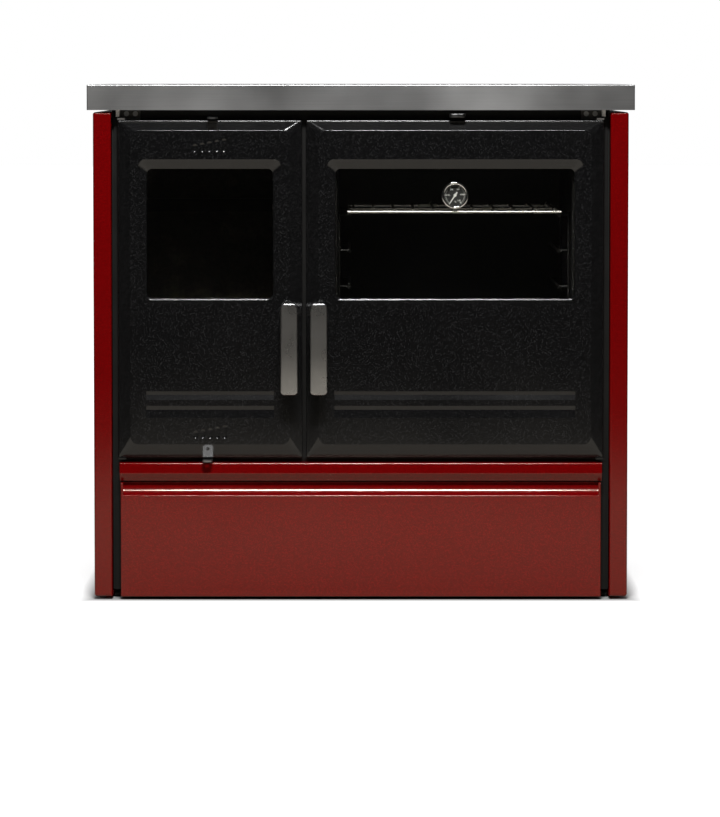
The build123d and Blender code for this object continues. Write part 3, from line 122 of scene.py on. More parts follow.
def angle(name, description, default):
    """An angle that a user may change, given here in degrees."""
    return FloatProperty(
        name=name, description=description, subtype="ANGLE", default=math.radians(default)
    )


class CookstoveFinish(bpy.types.PropertyGroup):
    """Colours of the stove's finishes."""

    red: colour("Red enamel", "Side panels, trim bar and drawer", (0.13, 0.0005, 0.001))
    black: colour("Black enamel", "Castings of both doors", (0.0046, 0.0046, 0.0048))
    stainless: colour("Stainless", "Worktop with its folded rim", (0.34, 0.34, 0.34))
    handle: colour("Handle steel", "Levers and pull tabs", (0.31, 0.31, 0.31))
    iron: colour("Ground iron", "Hob plate, ring and lid", (0.13, 0.13, 0.135))
    casting: colour("Casting", "Grate and flue collar", (0.045, 0.045, 0.047))
    paint: colour("Dark paint", "Front frame, hinges and base", (0.006, 0.0057, 0.0053))
    zinc: colour("Galvanised sheet", "Carcass, rear panel and drawer box", (0.5, 0.52, 0.53))
    brick: colour("Firebrick", "Lining of the firebox", (0.5, 0.41, 0.29))
    oven: colour("Oven enamel", "Lining of the oven", (0.01, 0.01, 0.011))
    rope: colour("Rope", "Gaskets behind the doors", (0.05, 0.05, 0.05))
    glass: colour("Window", "Tint of the door glasses", (0.72, 0.72, 0.7))
    marks: colour("Dial marks", "Figures and dashes of the thermometer", (0.8, 0.8, 0.78))


class CookstoveDetail(bpy.types.PropertyGroup):
    """Sizes of the small fittings that the scene adds."""

    rope_radius: length("Rope radius", "Radius of the gasket rope", 0.0045)
    rope_corner: length("Rope corner", "Radius of the rope's bends at the door corners", 0.03)
    rope_strand: length("Strand radius", "Radius of one strand of the rope", 0.0011)
    rope_strands: IntProperty(name="Strands", description="Strands round the rope", min=2, default=8)
    rope_pitch: length("Rope pitch", "Length of rope in which a strand goes round once", 0.022)
    screw_radius: length("Screw head", "Radius of a rear panel screw's head", 0.0048)
    screw_height: length("Screw height", "Height of a rear panel screw's head", 0.0024)
    screw_inset: length("Screw inset", "From the rear panel's edge to its screws", 0.011)
    screw_count: IntProperty(name="Screws", description="Screws round the rear panel", min=4, default=20)
    bolt_radius: length("Bolt head", "Radius of a flue collar bolt's head", 0.006)
    bolt_height: length("Bolt height", "Height of a flue collar bolt's head", 0.004)
    bolt_count: IntProperty(name="Bolts", description="Bolts round the flue collar", min=3, default=6)
    bolt_circle: length("Bolt circle", "Radius of the circle of flue collar bolts", 0.0908)
    collar_flange: length("Collar flange", "Thickness of the flue collar's flange", 0.006)
    dial_start: angle("Dial start", "Where the scale begins, clockwise from the top", 213.0)
    dial_sweep: angle("Dial sweep", "Angle from the first mark of the scale to the last", 290.0)
    dial_fine: IntProperty(name="Fine marks", description="Marks round the dial's rim", min=2, default=51)
    dial_bold: IntProperty(name="Bold marks", description="Marks that have a figure", min=2, default=6)
    dial_radius: length("Dial radius", "Radius of the dial inside the bezel", 0.0178)
    print_thickness: length("Print thickness", "Thickness of the print on the dial", 0.00014)
    fine_width: length("Fine mark width", "Width of a fine mark", 0.0006)
    fine_length: length("Fine mark length", "Length of a fine mark", 0.0022)
    bold_width: length("Bold mark width", "Width of a mark that has a figure", 0.0012)
    bold_length: length("Bold mark length", "Length of a mark that has a figure", 0.0036)
    figure_height: length("Figure height", "Height of the figures on the dial", 0.0036)


class CookstoveStudio(bpy.types.PropertyGroup):
    """Camera, light and floor."""

    distance: length("Camera distance", "From the worktop's front rim to the camera", 6.523)
    height: length("Camera height", "Height of the camera above the floor", 0.87)
    aside: FloatProperty(
        name="Camera aside", description="Sideways place of the camera", unit="LENGTH", default=-0.0013
    )
    tilt: angle("Camera tilt", "How far the camera looks down", 3.43)
    lens: FloatProperty(name="Lens", description="Focal length in millimetres", min=1.0, default=174.9)
    shift: FloatProperty(name="Lens shift", description="Upward shift of the lens", default=-0.12)
    floor: colour("Floor", "Colour of the floor in the picture", (0.3, 0.3, 0.3))
    floor_glow: colour("Floor glow", "Light of the floor itself round the stove", (0.82, 0.82, 0.82))
    floor_bounce: colour("Floor bounce", "Colour that the floor sends back", (0.46, 0.425, 0.37))
    pool: length("Pool", "Radius of the lit pool on the floor round the stove", 3.0)
    pool_edge: length("Pool edge", "Width of the pool's soft edge", 0.9)
    contact: length("Contact shade", "Width of the soft shade on the floor round the stove's foot", 0.03)
    overhead: FloatProperty(
        name="Overhead", description="Strength of the broad overhead light", min=0.0, default=0.8
    )
    overhead_angle: angle("Overhead angle", "How broad the overhead light looks from the stove", 75.0)
    box_width: length("Softbox width", "Width of each of the two front softboxes", 0.6)
    box_height: length("Softbox height", "Height of each of the two front softboxes", 0.36)
    box_aside: length("Softbox aside", "From the middle to each front softbox", 0.2)
    box_distance: length("Softbox distance", "From the stove's middle forward to the softboxes", 2.3)
    box_rise: length("Softbox rise", "Height of the front softboxes above the floor", 3.0)
    box_power: FloatProperty(
        name="Softbox power", description="Power of each softbox", subtype="POWER", min=0.0, default=80.0
    )
    surround: FloatProperty(name="Surround", description="Brightness of the room", min=0.0, default=0.01)


def add_node(tree, kind, inputs=None, **settings):
    """Add a node, set its options, and set or link its inputs."""
    node = tree.nodes.new(kind)
    for name, value in settings.items():
        setattr(node, name, value)
    for name, value in (inputs or {}).items():
        if isinstance(value, bpy.types.NodeSocket):
            tree.links.new(value, node.inputs[name])
        else:
            node.inputs[name].default_value = value
    return node


def new_group(name, kind, inputs, outputs):
    """An empty node group with its named sockets; returns it, its input sockets and its output node."""
    group = bpy.data.node_groups.new(name, kind)
    sockets = group.interface
    for label, socket_kind, default in inputs:
        socket = sockets.new_socket(name=label, in_out="INPUT", socket_type="NodeSocket" + socket_kind)
        if default is not None:
            socket.default_value = default
    for label, socket_kind in outputs:
        sockets.new_socket(name=label, in_out="OUTPUT", socket_type="NodeSocket" + socket_kind)
    given = group.nodes.new("NodeGroupInput").outputs
    return group, given, group.nodes.new("NodeGroupOutput")


def spread(tree, value, low, high, start=0.0, end=1.0):
    """Spread a value that runs from start to end over the range from low to high."""
    node = add_node(
        tree,
        "ShaderNodeMapRange",
        {"Value": value, "From Min": start, "From Max": end, "To Min": low, "To Max": high},
    )
    return node.outputs["Result"]


def calculate(tree, operation, first, second):
    """One sum on two values."""
    return add_node(tree, "ShaderNodeMath", {0: first, 1: second}, operation=operation).outputs[0]


def noise(tree, vector, scale, detail=2.0):
    """Smooth noise from 0 to 1."""
    node = add_node(tree, "ShaderNodeTexNoise", {"Vector": vector, "Scale": scale, "Detail": detail})
    return node.outputs["Fac"]


def vector_sum(tree, operation, inputs):
    """One sum on vectors."""
    return add_node(tree, "ShaderNodeVectorMath", inputs, operation=operation).outputs["Vector"]


def stretched(tree, vector, scale):
    """Coordinates scaled by a different amount along each axis."""
    return vector_sum(tree, "MULTIPLY", {0: vector, 1: scale})


@functools.cache
def enamel_grain():
    """Fine flecks and the faint orange peel of fired enamel."""
    group, given, result = new_group(
        "enamel_grain",
        "ShaderNodeTree",
        (("Vector", "Vector", None), ("Fleck Scale", "Float", 700.0), ("Fleck Share", "Float", 0.4)),
        (("Flecks", "Float"), ("Relief", "Float")),
    )
    grains = noise(group, given["Vector"], given["Fleck Scale"])
    threshold = calculate(group, "SUBTRACT", 0.7, calculate(group, "MULTIPLY", given["Fleck Share"], 0.4))
    flecks = add_node(
        group,
        "ShaderNodeMapRange",
        {"Value": grains, "From Min": threshold, "From Max": calculate(group, "ADD", threshold, 0.14)},
        interpolation_type="SMOOTHSTEP",
    )
    peel = noise(group, given["Vector"], 210.0, 1.0)
    relief = calculate(group, "ADD", calculate(group, "MULTIPLY", grains, 0.5), peel)
    group.links.new(flecks.outputs["Result"], result.inputs["Flecks"])
    group.links.new(relief, result.inputs["Relief"])
    return group


@functools.cache
def brushing():
    """Long fine lines and slow clouds, as a belt leaves them on sheet metal."""
    group, given, result = new_group(
        "brushing",
        "ShaderNodeTree",
        (("Vector", "Vector", None), ("Stretch", "Vector", (6.0, 900.0, 900.0))),
        (("Lines", "Float"), ("Clouds", "Float")),
    )
    lines = noise(group, stretched(group, given["Vector"], given["Stretch"]), 1.0, 3.0)
    clouds = noise(group, given["Vector"], 3.0, 3.0)
    group.links.new(lines, result.inputs["Lines"])
    group.links.new(clouds, result.inputs["Clouds"])
    return group


@functools.cache
def handling():
    """Soft patches where hands and cloths have changed the gloss."""
    group, given, result = new_group(
        "handling",
        "ShaderNodeTree",
        (("Vector", "Vector", None), ("Scale", "Float", 9.0)),
        (("Patches", "Float"),),
    )
    patches = noise(group, given["Vector"], given["Scale"], 5.0)
    group.links.new(spread(group, patches, 0.0, 1.0, 0.3, 0.7), result.inputs["Patches"])
    return group


@functools.cache
def cast_skin():
    """Sand texture and mottling of a casting's skin."""
    group, given, result = new_group(
        "cast_skin",
        "ShaderNodeTree",
        (("Vector", "Vector", None), ("Grain Scale", "Float", 420.0)),
        (("Relief", "Float"), ("Mottle", "Float")),
    )
    sand = noise(group, given["Vector"], given["Grain Scale"], 4.0)
    group.links.new(sand, result.inputs["Relief"])
    group.links.new(noise(group, given["Vector"], 24.0, 4.0), result.inputs["Mottle"])
    return group


@functools.cache
def soot():
    """Blackening that rises from one height to another and breaks up in patches."""
    group, given, result = new_group(
        "soot",
        "ShaderNodeTree",
        (("Vector", "Vector", None), ("Foot", "Float", 0.4), ("Top", "Float", 0.7)),
        (("Cover", "Float"),),
    )
    height = add_node(group, "ShaderNodeSeparateXYZ", {"Vector": given["Vector"]}).outputs["Z"]
    rise = add_node(
        group,
        "ShaderNodeMapRange",
        {"Value": height, "From Min": given["Foot"], "From Max": given["Top"]},
    ).outputs["Result"]
    patches = noise(group, given["Vector"], 14.0, 5.0)
    cover = calculate(group, "ADD", rise, calculate(group, "SUBTRACT", patches, 0.45))
    group.links.new(spread(group, cover, 0.15, 0.95), result.inputs["Cover"])
    return group


def new_material(name):
    """A material with one Principled shader; returns it, its tree, the shader and object coordinates."""
    material = bpy.data.materials.new(name)
    material.use_nodes = True
    tree = material.node_tree
    tree.nodes.clear()
    shader = tree.nodes.new("ShaderNodeBsdfPrincipled")
    output = tree.nodes.new("ShaderNodeOutputMaterial")
    tree.links.new(shader.outputs["BSDF"], output.inputs["Surface"])
    coordinates = tree.nodes.new("ShaderNodeTexCoord").outputs["Object"]
    return material, tree, shader, coordinates


def use(tree, group, vector, **values):
    """Place a shader group in a material and return its outputs."""
    inputs = {"Vector": vector}
    for name, value in values.items():
        inputs[name.replace("_", " ").title()] = value
    return add_node(tree, "ShaderNodeGroup", inputs, node_tree=group).outputs


def shaded(tone, factor):
    """A colour made darker or lighter, with its alpha."""
    return (tone[0] * factor, tone[1] * factor, tone[2] * factor, 1.0)


def mix(tree, factor, low, high):
    """A colour between two others."""
    inputs = {MIX_FACTOR: factor, MIX_LOW: low, MIX_HIGH: high}
    return add_node(tree, "ShaderNodeMix", inputs, data_type="RGBA").outputs[MIX_RESULT]


def set_shader(shader, **values):
    """Set plain values on the shader's own sockets."""
    for name, value in values.items():
        shader.inputs[name.replace("_", " ").title().replace("Ior", "IOR")].default_value = value


def feed(tree, shader, **sources):
    """Link varying values to the shader's sockets."""
    for name, source in sources.items():
        tree.links.new(source, shader.inputs[name.replace("_", " ").title()])


def add_bump(tree, shader, height, strength, distance):
    """Give a surface its relief."""
    inputs = {"Height": height, "Strength": strength, "Distance": distance}
    bump = add_node(tree, "ShaderNodeBump", inputs)
    tree.links.new(bump.outputs["Normal"], shader.inputs["Normal"])


def finishes():
    """The colours set in the sidebar."""
    return bpy.context.scene.cookstove_finish


def flecked_enamel(name, tone, flecks, grain, patch_scale, roughness, bump, depth, **plain):
    """Fired enamel: its ground and flecks are factors of one tone; grain is the flecks' scale and share."""
    material, tree, shader, place = new_material(name)
    grains = use(tree, enamel_grain(), place, fleck_scale=grain[0], fleck_share=grain[1])
    patches = use(tree, handling(), place, scale=patch_scale)["Patches"]
    feed(
        tree,
        shader,
        base_color=mix(tree, grains["Flecks"], shaded(tone, flecks[0]), shaded(tone, flecks[1])),
        roughness=spread(tree, patches, *roughness),
    )
    add_bump(tree, shader, grains["Relief"], bump, depth)
    set_shader(shader, **plain)
    return material


def mottled_skin(name, tones, roughness, grain_scale, bump, depth, **plain):
    """A finish whose tone and gloss follow the mottling of a cast skin, with the skin's relief."""
    material, tree, shader, place = new_material(name)
    skin = use(tree, cast_skin(), place, grain_scale=grain_scale)
    feed(
        tree,
        shader,
        base_color=mix(tree, skin["Mottle"], *tones),
        roughness=spread(tree, skin["Mottle"], *roughness),
    )
    add_bump(tree, shader, skin["Relief"], bump, depth)
    set_shader(shader, **plain)
    return material


def worn_gloss(name, patch_scale, tones, roughness, **plain):
    """A smooth finish whose tone and gloss change in soft patches."""
    material, tree, shader, place = new_material(name)
    patches = use(tree, handling(), place, scale=patch_scale)["Patches"]
    feed(
        tree,
        shader,
        base_color=mix(tree, patches, *tones),
        roughness=spread(tree, patches, *roughness),
    )
    set_shader(shader, **plain)
    return material


def printed(name, tones, roughness, grain_scale):
    """Ink on the dial, finely uneven."""
    material, tree, shader, place = new_material(name)
    skin = use(tree, cast_skin(), place, grain_scale=grain_scale)
    feed(
        tree,
        shader,
        base_color=mix(tree, skin["Relief"], *tones),
        roughness=spread(tree, skin["Mottle"], *roughness),
    )
    return material


@functools.cache
def red_enamel():
    """Deep red enamel, fine flecks under a clear gloss that is slightly warm."""
    return flecked_enamel(
        "red_enamel_flecked",
        finishes().red,
        flecks=(0.78, 1.35),
        grain=(640.0, 0.5),
        patch_scale=7.0,
        roughness=(0.12, 0.16),
        bump=0.06,
        depth=0.0003,
        specular_tint=(1.0, 0.84, 0.7, 1.0),
    )


@functools.cache
def black_enamel():
    """Black enamel with a granular sparkle, on the door castings."""
    return flecked_enamel(
        "black_enamel_granular",
        finishes().black,
        flecks=(0.6, 3.0),
        grain=(620.0, 0.45),
        patch_scale=6.0,
        roughness=(0.13, 0.17),
        bump=0.06,
        depth=0.0003,
    )


@functools.cache
def brushed_stainless():
    """Stainless sheet brushed along its length."""
    tone = finishes().stainless
    material, tree, shader, place = new_material("brushed_stainless")
    lines = use(tree, brushing(), place, stretch=(7.0, 1100.0, 1100.0))
    smears = use(tree, handling(), place, scale=5.0)["Patches"]
    clouded = spread(tree, lines["Clouds"], 0.0, 0.7, 0.42, 0.6)
    shade = calculate(tree, "ADD", clouded, calculate(tree, "MULTIPLY", lines["Lines"], 0.3))
    feed(
        tree,
        shader,
        base_color=mix(tree, shade, shaded(tone, 0.62), shaded(tone, 1.3)),
        roughness=spread(tree, calculate(tree, "ADD", lines["Clouds"], smears), 0.28, 0.37, 0.3, 1.5),
    )
    add_bump(tree, shader, lines["Lines"], 0.12, 0.0003)
    set_shader(shader, metallic=1.0, anisotropic=0.5, anisotropic_rotation=0.25)
    return material


@functools.cache
def satin_steel():
    """Blasted satin steel of the levers."""
    tone = finishes().handle
    material, tree, shader, place = new_material("satin_handle_steel")
    skin = use(tree, cast_skin(), place, grain_scale=1500.0)
    worn = use(tree, handling(), place, scale=28.0)["Patches"]
    feed(
        tree,
        shader,
        base_color=mix(tree, skin["Mottle"], shaded(tone, 0.9), shaded(tone, 1.08)),
        roughness=spread(tree, worn, 0.26, 0.31),
    )
    add_bump(tree, shader, skin["Relief"], 0.1, 0.0002)
    set_shader(shader, metallic=1.0)
    return material


@functools.cache
def slide_steel():
    """Steel of the air slides: bright on the tab, near-black and matt on the plate behind the front frame.
    """
    tone = finishes().handle
    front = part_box("front_frame")[0].y
    material, tree, shader, place = new_material("air_slide_steel")
    skin = use(tree, cast_skin(), place, grain_scale=1500.0)
    depth = add_node(tree, "ShaderNodeSeparateXYZ", {"Vector": place}).outputs["Y"]
    hidden = spread(tree, depth, 0.0, 1.0, front - SLIDE_FADE, front)
    bright = mix(tree, skin["Mottle"], shaded(tone, 0.85), shaded(tone, 1.05))
    feed(
        tree,
        shader,
        base_color=mix(tree, hidden, bright, (0.008, 0.008, 0.008, 1.0)),
        roughness=spread(tree, hidden, 0.3, 0.7),
        metallic=spread(tree, hidden, 1.0, 0.0),
    )
    add_bump(tree, shader, skin["Relief"], 0.1, 0.0002)
    return material


@functools.cache
def ground_iron():
    """Grey iron of the hob, ground flat and darkened by heat."""
    tone = finishes().iron
    material, tree, shader, place = new_material("ground_hob_iron")
    lines = use(tree, brushing(), place, stretch=(14.0, 700.0, 700.0))
    heat = use(tree, cast_skin(), place, grain_scale=600.0)
    tint = mix(tree, heat["Mottle"], shaded(tone, 0.75), (tone[0] * 1.3, tone[1] * 1.2, tone[2] * 1.1, 1.0))
    feed(
        tree,
        shader,
        base_color=mix(tree, spread(tree, lines["Lines"], 0.0, 0.5), tint, shaded(tone, 1.7)),
        roughness=spread(tree, lines["Clouds"], 0.34, 0.5, 0.3, 0.7),
    )
    add_bump(tree, shader, lines["Lines"], 0.25, 0.0003)
    set_shader(shader, metallic=0.85)
    return material


@functools.cache
def raw_casting():
    """Sand-cast iron, stove-blacked."""
    tone = finishes().casting
    tones = (shaded(tone, 0.55), shaded(tone, 1.5))
    return mottled_skin("blacked_casting", tones, (0.5, 0.68), 380.0, 0.5, 0.0008, metallic=0.3)


@functools.cache
def dark_paint():
    """Satin heat-proof paint on folded sheet."""
    tone = finishes().paint
    tones = (shaded(tone, 0.7), shaded(tone, 1.4))
    return mottled_skin(
        "dark_stove_paint", tones, (0.4, 0.55), 900.0, 0.2, 0.0003, specular_ior_level=0.3
    )


@functools.cache
def hinge_plates_painted_light():
    """Dark paint on the hinge brackets: the upper plates are lightened as painted light where the worktop's
    rim shades them; the lower lugs are darker and more metallic.
    """
    tone = finishes().paint
    low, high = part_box("hinge_brackets")
    material, tree, shader, place = new_material("hinge_plates_painted_light")
    skin = use(tree, cast_skin(), place, grain_scale=900.0)
    height = add_node(tree, "ShaderNodeSeparateXYZ", {"Vector": place}).outputs["Z"]
    middle = (low.z + high.z) / 2
    upper = spread(tree, height, 0.0, 1.0, middle - HINGE_FADE, middle + HINGE_FADE)
    # painted light: the upper plates take the dark paint lightened eight to thirteen times, standing in for
    # light that the rim keeps off them
    paint = mix(tree, skin["Mottle"], shaded(tone, 8.0), shaded(tone, 13.0))
    bare = mix(tree, skin["Mottle"], shaded(tone, 2.0), shaded(tone, 4.0))
    feed(
        tree,
        shader,
        base_color=mix(tree, upper, bare, paint),
        roughness=spread(tree, skin["Mottle"], 0.36, 0.5),
        metallic=spread(tree, upper, 0.5, 0.1),
    )
    add_bump(tree, shader, skin["Relief"], 0.2, 0.0003)
    return material


@functools.cache
def galvanised():
    """Hot-dipped sheet with its zinc spangle."""
    tone = finishes().zinc
    material, tree, shader, place = new_material("galvanised_sheet")
    spangle = add_node(tree, "ShaderNodeTexVoronoi", {"Vector": place, "Scale": 95.0}, feature="F1")
    grey = add_node(tree, "ShaderNodeSeparateColor", {"Color": spangle.outputs["Color"]}).outputs["Red"]
    dulled = use(tree, handling(), place, scale=11.0)["Patches"]
    feed(
        tree,
        shader,
        base_color=mix(tree, grey, shaded(tone, 0.78), shaded(tone, 1.1)),
        roughness=spread(tree, calculate(tree, "ADD", grey, dulled), 0.34, 0.52, 0.0, 2.0),
    )
    add_bump(tree, shader, grey, 0.06, 0.0003)
    set_shader(shader, metallic=0.9)
    return material


@functools.cache
def bearer_primer_painted_light():
    """Pale zinc primer on the worktop's bearers, scuffed in places; partly painted light: its near-white
    tone also brightens the bearers' ends where the worktop's rim shades them.
    """
    material, tree, shader, place = new_material("pale_primer_painted_light")
    skin = use(tree, cast_skin(), place, grain_scale=1100.0)
    scuffs = use(tree, handling(), place, scale=40.0)["Patches"]
    # painted light: the near-white base colour stands in for light on the bearers' shaded ends
    feed(
        tree,
        shader,
        base_color=mix(tree, scuffs, (0.7, 0.7, 0.69, 1.0), (0.92, 0.92, 0.9, 1.0)),
        roughness=spread(tree, scuffs, 0.3, 0.5),
    )
    add_bump(tree, shader, skin["Relief"], 0.15, 0.0002)
    set_shader(shader, metallic=0.3)
    return material


@functools.cache
def fire_steel():
    """Plate round the fire, scaled brown and sooted."""
    material, tree, shader, place = new_material("scaled_fire_steel")
    skin = use(tree, cast_skin(), place, grain_scale=260.0)
    cover = use(tree, soot(), place, foot=0.3, top=0.62)["Cover"]
    scale = mix(tree, skin["Mottle"], (0.05, 0.036, 0.028, 1.0), (0.11, 0.085, 0.068, 1.0))
    feed(
        tree,
        shader,
        base_color=mix(tree, cover, scale, (0.012, 0.011, 0.010, 1.0)),
        roughness=spread(tree, skin["Mottle"], 0.55, 0.8),
    )
    add_bump(tree, shader, skin["Relief"], 0.3, 0.0005)
    set_shader(shader, metallic=0.35)
    return material


@functools.cache
def firebrick():
    """Pressed buff brick with mica flakes, blackened towards the top."""
    tone = finishes().brick
    material, tree, shader, place = new_material("pressed_firebrick")
    flakes = add_node(tree, "ShaderNodeTexVoronoi", {"Vector": place, "Scale": 210.0}, feature="F1")
    grey = add_node(tree, "ShaderNodeSeparateColor", {"Color": flakes.outputs["Color"]}).outputs["Red"]
    skin = use(tree, cast_skin(), place, grain_scale=300.0)
    cover = use(tree, soot(), place, foot=0.36, top=0.52)["Cover"]
    buff = mix(tree, grey, shaded(tone, 0.6), shaded(tone, 1.25))
    feed(
        tree,
        shader,
        base_color=mix(tree, cover, buff, (0.018, 0.016, 0.014, 1.0)),
        roughness=spread(tree, skin["Mottle"], 0.8, 0.95),
    )
    add_bump(tree, shader, calculate(tree, "ADD", skin["Relief"], flakes.outputs["Distance"]), 0.5, 0.0008)
    return material


@functools.cache
def oven_enamel():
    """Dark speckled enamel of the oven's lining."""
    return flecked_enamel(
        "speckled_oven_enamel",
        finishes().oven,
        flecks=(0.8, 6.0),
        grain=(330.0, 0.22),
        patch_scale=8.0,
        roughness=(0.28, 0.42),
        bump=0.12,
        depth=0.0004,
    )


@functools.cache
def plated_wire():
    """Bright plated wire, browned in places by the oven."""
    tones = ((0.9, 0.9, 0.9, 1.0), (0.8, 0.77, 0.72, 1.0))
    return worn_gloss("plated_rack_wire", 16.0, tones, (0.14, 0.3), metallic=1.0)


@functools.cache
def zinc_fittings():
    """Zinc-plated screws, clips, spindles and latches."""
    tones = ((0.36, 0.37, 0.38, 1.0), (0.55, 0.55, 0.53, 1.0))
    return mottled_skin("zinc_fittings", tones, (0.28, 0.42), 1300.0, 0.15, 0.0002, metallic=1.0)


@functools.cache
def blackened_steel():
    """Blackened steel of the damper's knob, worn by fingers."""
    tones = ((0.03, 0.03, 0.03, 1.0), (0.12, 0.12, 0.12, 1.0))
    return worn_gloss("blackened_steel", 120.0, tones, (0.3, 0.42), metallic=0.9)


@functools.cache
def window_glass():
    """Heat-proof ceramic glass with a slight smoke tint and faint wipe marks; it casts a tinted shadow."""
    tone = finishes().glass
    tones = (shaded(tone, 0.92), shaded(tone, 1.0))
    material = worn_gloss(
        "smoked_window_glass", 5.0, tones, (0.0, 0.035), transmission_weight=1.0, ior=1.47
    )
    tree = material.node_tree
    glass = tree.nodes["Principled BSDF"].outputs["BSDF"]
    clear = add_node(tree, "ShaderNodeBsdfTransparent", {"Color": shaded(tone, 1.0)}).outputs["BSDF"]
    shadow = tree.nodes.new("ShaderNodeLightPath").outputs["Is Shadow Ray"]
    both = add_node(tree, "ShaderNodeMixShader", {0: shadow, 1: glass, 2: clear})
    tree.links.new(both.outputs["Shader"], tree.nodes["Material Output"].inputs["Surface"])
    return material


@functools.cache
def polished_steel():
    """Polished steel of the thermometer's case."""
    tones = ((0.72, 0.72, 0.72, 1.0), (0.8, 0.8, 0.8, 1.0))
    return worn_gloss("polished_gauge_steel", 120.0, tones, (0.07, 0.15), metallic=1.0)


@functools.cache
def dial_black():
    """Matt black print of the thermometer's dial."""
    tones = ((0.004, 0.004, 0.004, 1.0), (0.012, 0.012, 0.012, 1.0))
    return printed("dial_matt_black", tones, (0.6, 0.75), 3000.0)


def dial_print(name, factor):
    """White print on the dial, at its full strength or greyer."""
    tone = finishes().marks
    return printed(name, (shaded(tone, 0.85 * factor), shaded(tone, factor)), (0.5, 0.65), 2500.0)


@functools.cache
def dial_white():
    """Full white of the needle, the bold marks and the figures."""
    return dial_print("dial_white", 1.0)


@functools.cache
def dial_grey():
    """Thinner white of the fine marks."""
    return dial_print("dial_grey", 0.5)


@functools.cache
def rope_fibre():
    """Spun glass fibre of the gasket rope, dusted with graphite."""
    tone = finishes().rope
    material, tree, shader, place = new_material("rope_fibre")
    fibres = noise(tree, place, 2400.0, 3.0)
    dust = use(tree, handling(), place, scale=30.0)["Patches"]
    shade = mix(tree, dust, shaded(tone, 0.6), shaded(tone, 2.0))
    feed(
        tree,
        shader,
        base_color=mix(tree, fibres, shade, shaded(tone, 2.6)),
        roughness=spread(tree, fibres, 0.8, 0.95),
    )
    add_bump(tree, shader, fibres, 0.4, 0.0003)
    return material


def under_stove(tree, place, edge):
    """Mask of the floor that the stove stands over, with a soft edge outside it, for the painted contact
    shadow.
    """
    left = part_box("left_side_panel")[0]
    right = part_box("right_side_panel")[1]
    parts = add_node(tree, "ShaderNodeSeparateXYZ", {"Vector": place}).outputs
    front = calculate(tree, "SUBTRACT", left.y, parts["Y"])
    rear = calculate(tree, "SUBTRACT", parts["Y"], right.y)
    aside = calculate(tree, "SUBTRACT", calculate(tree, "ABSOLUTE", parts["X"], 0.0), right.x)
    outside = calculate(tree, "MAXIMUM", calculate(tree, "MAXIMUM", front, rear), aside)
    return spread(tree, outside, 1.0, 0.0, 0.0, edge)


@functools.cache
def studio_floor():
    """Pale seamless floor that sends back less light than it shows, as a flagged-off sweep does; under the
    stove its glow gives way to a painted contact shadow.
    """
    studio = bpy.context.scene.cookstove_studio
    material, tree, shader, place = new_material("studio_floor")
    paper = noise(tree, place, 60.0, 3.0)
    pale = mix(tree, paper, shaded(studio.floor, 0.985), shaded(studio.floor, 1.0))
    away = add_node(tree, "ShaderNodeVectorMath", {0: place}, operation="LENGTH").outputs["Value"]
    beyond = spread(tree, away, 0.0, 1.0, studio.pool - studio.pool_edge, studio.pool)
    bounce = mix(tree, beyond, shaded(studio.floor_bounce, 1.0), shaded(studio.floor_bounce, 0.04))
    glow = mix(tree, beyond, shaded(studio.floor_glow, 1.0), (1.0, 1.0, 1.0, 1.0))
    # painted shadow: under the stove and round its foot the floor's glow is taken away
    glow = mix(tree, under_stove(tree, place, studio.contact), glow, (0.0, 0.0, 0.0, 1.0))
    seen = tree.nodes.new("ShaderNodeLightPath").outputs["Is Camera Ray"]
    feed(
        tree,
        shader,
        base_color=mix(tree, seen, bounce, pale),
        emission_color=mix(tree, seen, (0.0, 0.0, 0.0, 1.0), glow),
    )
    set_shader(shader, roughness=0.9, specular_ior_level=0.1, emission_strength=1.0)
    return material


def dress(material, *nodes):
    """Give CAD nodes their finish."""
    for name in nodes:
        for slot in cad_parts[name].material_slots:
            slot.material = material


def add_piece(name, mesh, body):
    """Add a finished mesh to the scene as a piece that moves with a body."""
    piece = bpy.data.objects.new(name, mesh)
    bpy.context.scene.collection.objects.link(piece)
    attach(piece, body)
    return piece


def run_tree(tree, source, values):
    """Run a geometry tree on a source mesh and return the result as a plain mesh."""
    holder = bpy.data.objects.new(tree.name + "_holder", source)
    bpy.context.scene.collection.objects.link(holder)
    modifier = holder.modifiers.new(tree.name, "NODES")
    modifier.node_group = tree
    for socket in tree.interface.items_tree:
        if socket.in_out == "INPUT" and socket.name in values:
            modifier[socket.identifier] = values[socket.name]
    holder.update_tag()
    bpy.context.view_layer.update()
    evaluated = holder.evaluated_get(bpy.context.evaluated_depsgraph_get())
    mesh = bpy.data.meshes.new_from_object(evaluated)
    holder.modifiers.remove(modifier)
    bpy.data.objects.remove(holder)
    if not mesh.polygons:
        raise RuntimeError(f"the tree {tree.name} made no faces")
    return mesh


def finish_tree(tree, result, geometry, material):
    """End a geometry tree with real meshes and their material."""
    real = add_node(tree, "GeometryNodeRealizeInstances", {"Geometry": geometry})
    dressed = add_node(
        tree, "GeometryNodeSetMaterial", {"Geometry": real.outputs["Geometry"], "Material": material}
    )
    tree.links.new(dressed.outputs["Geometry"], result.inputs["Geometry"])


def path_mesh(name, points):
    """A closed loop of edges through points."""
    mesh = bpy.data.meshes.new(name)
    edges = [(index, (index + 1) % len(points)) for index in range(len(points))]
    mesh.from_pydata(points, edges, [])
    return mesh


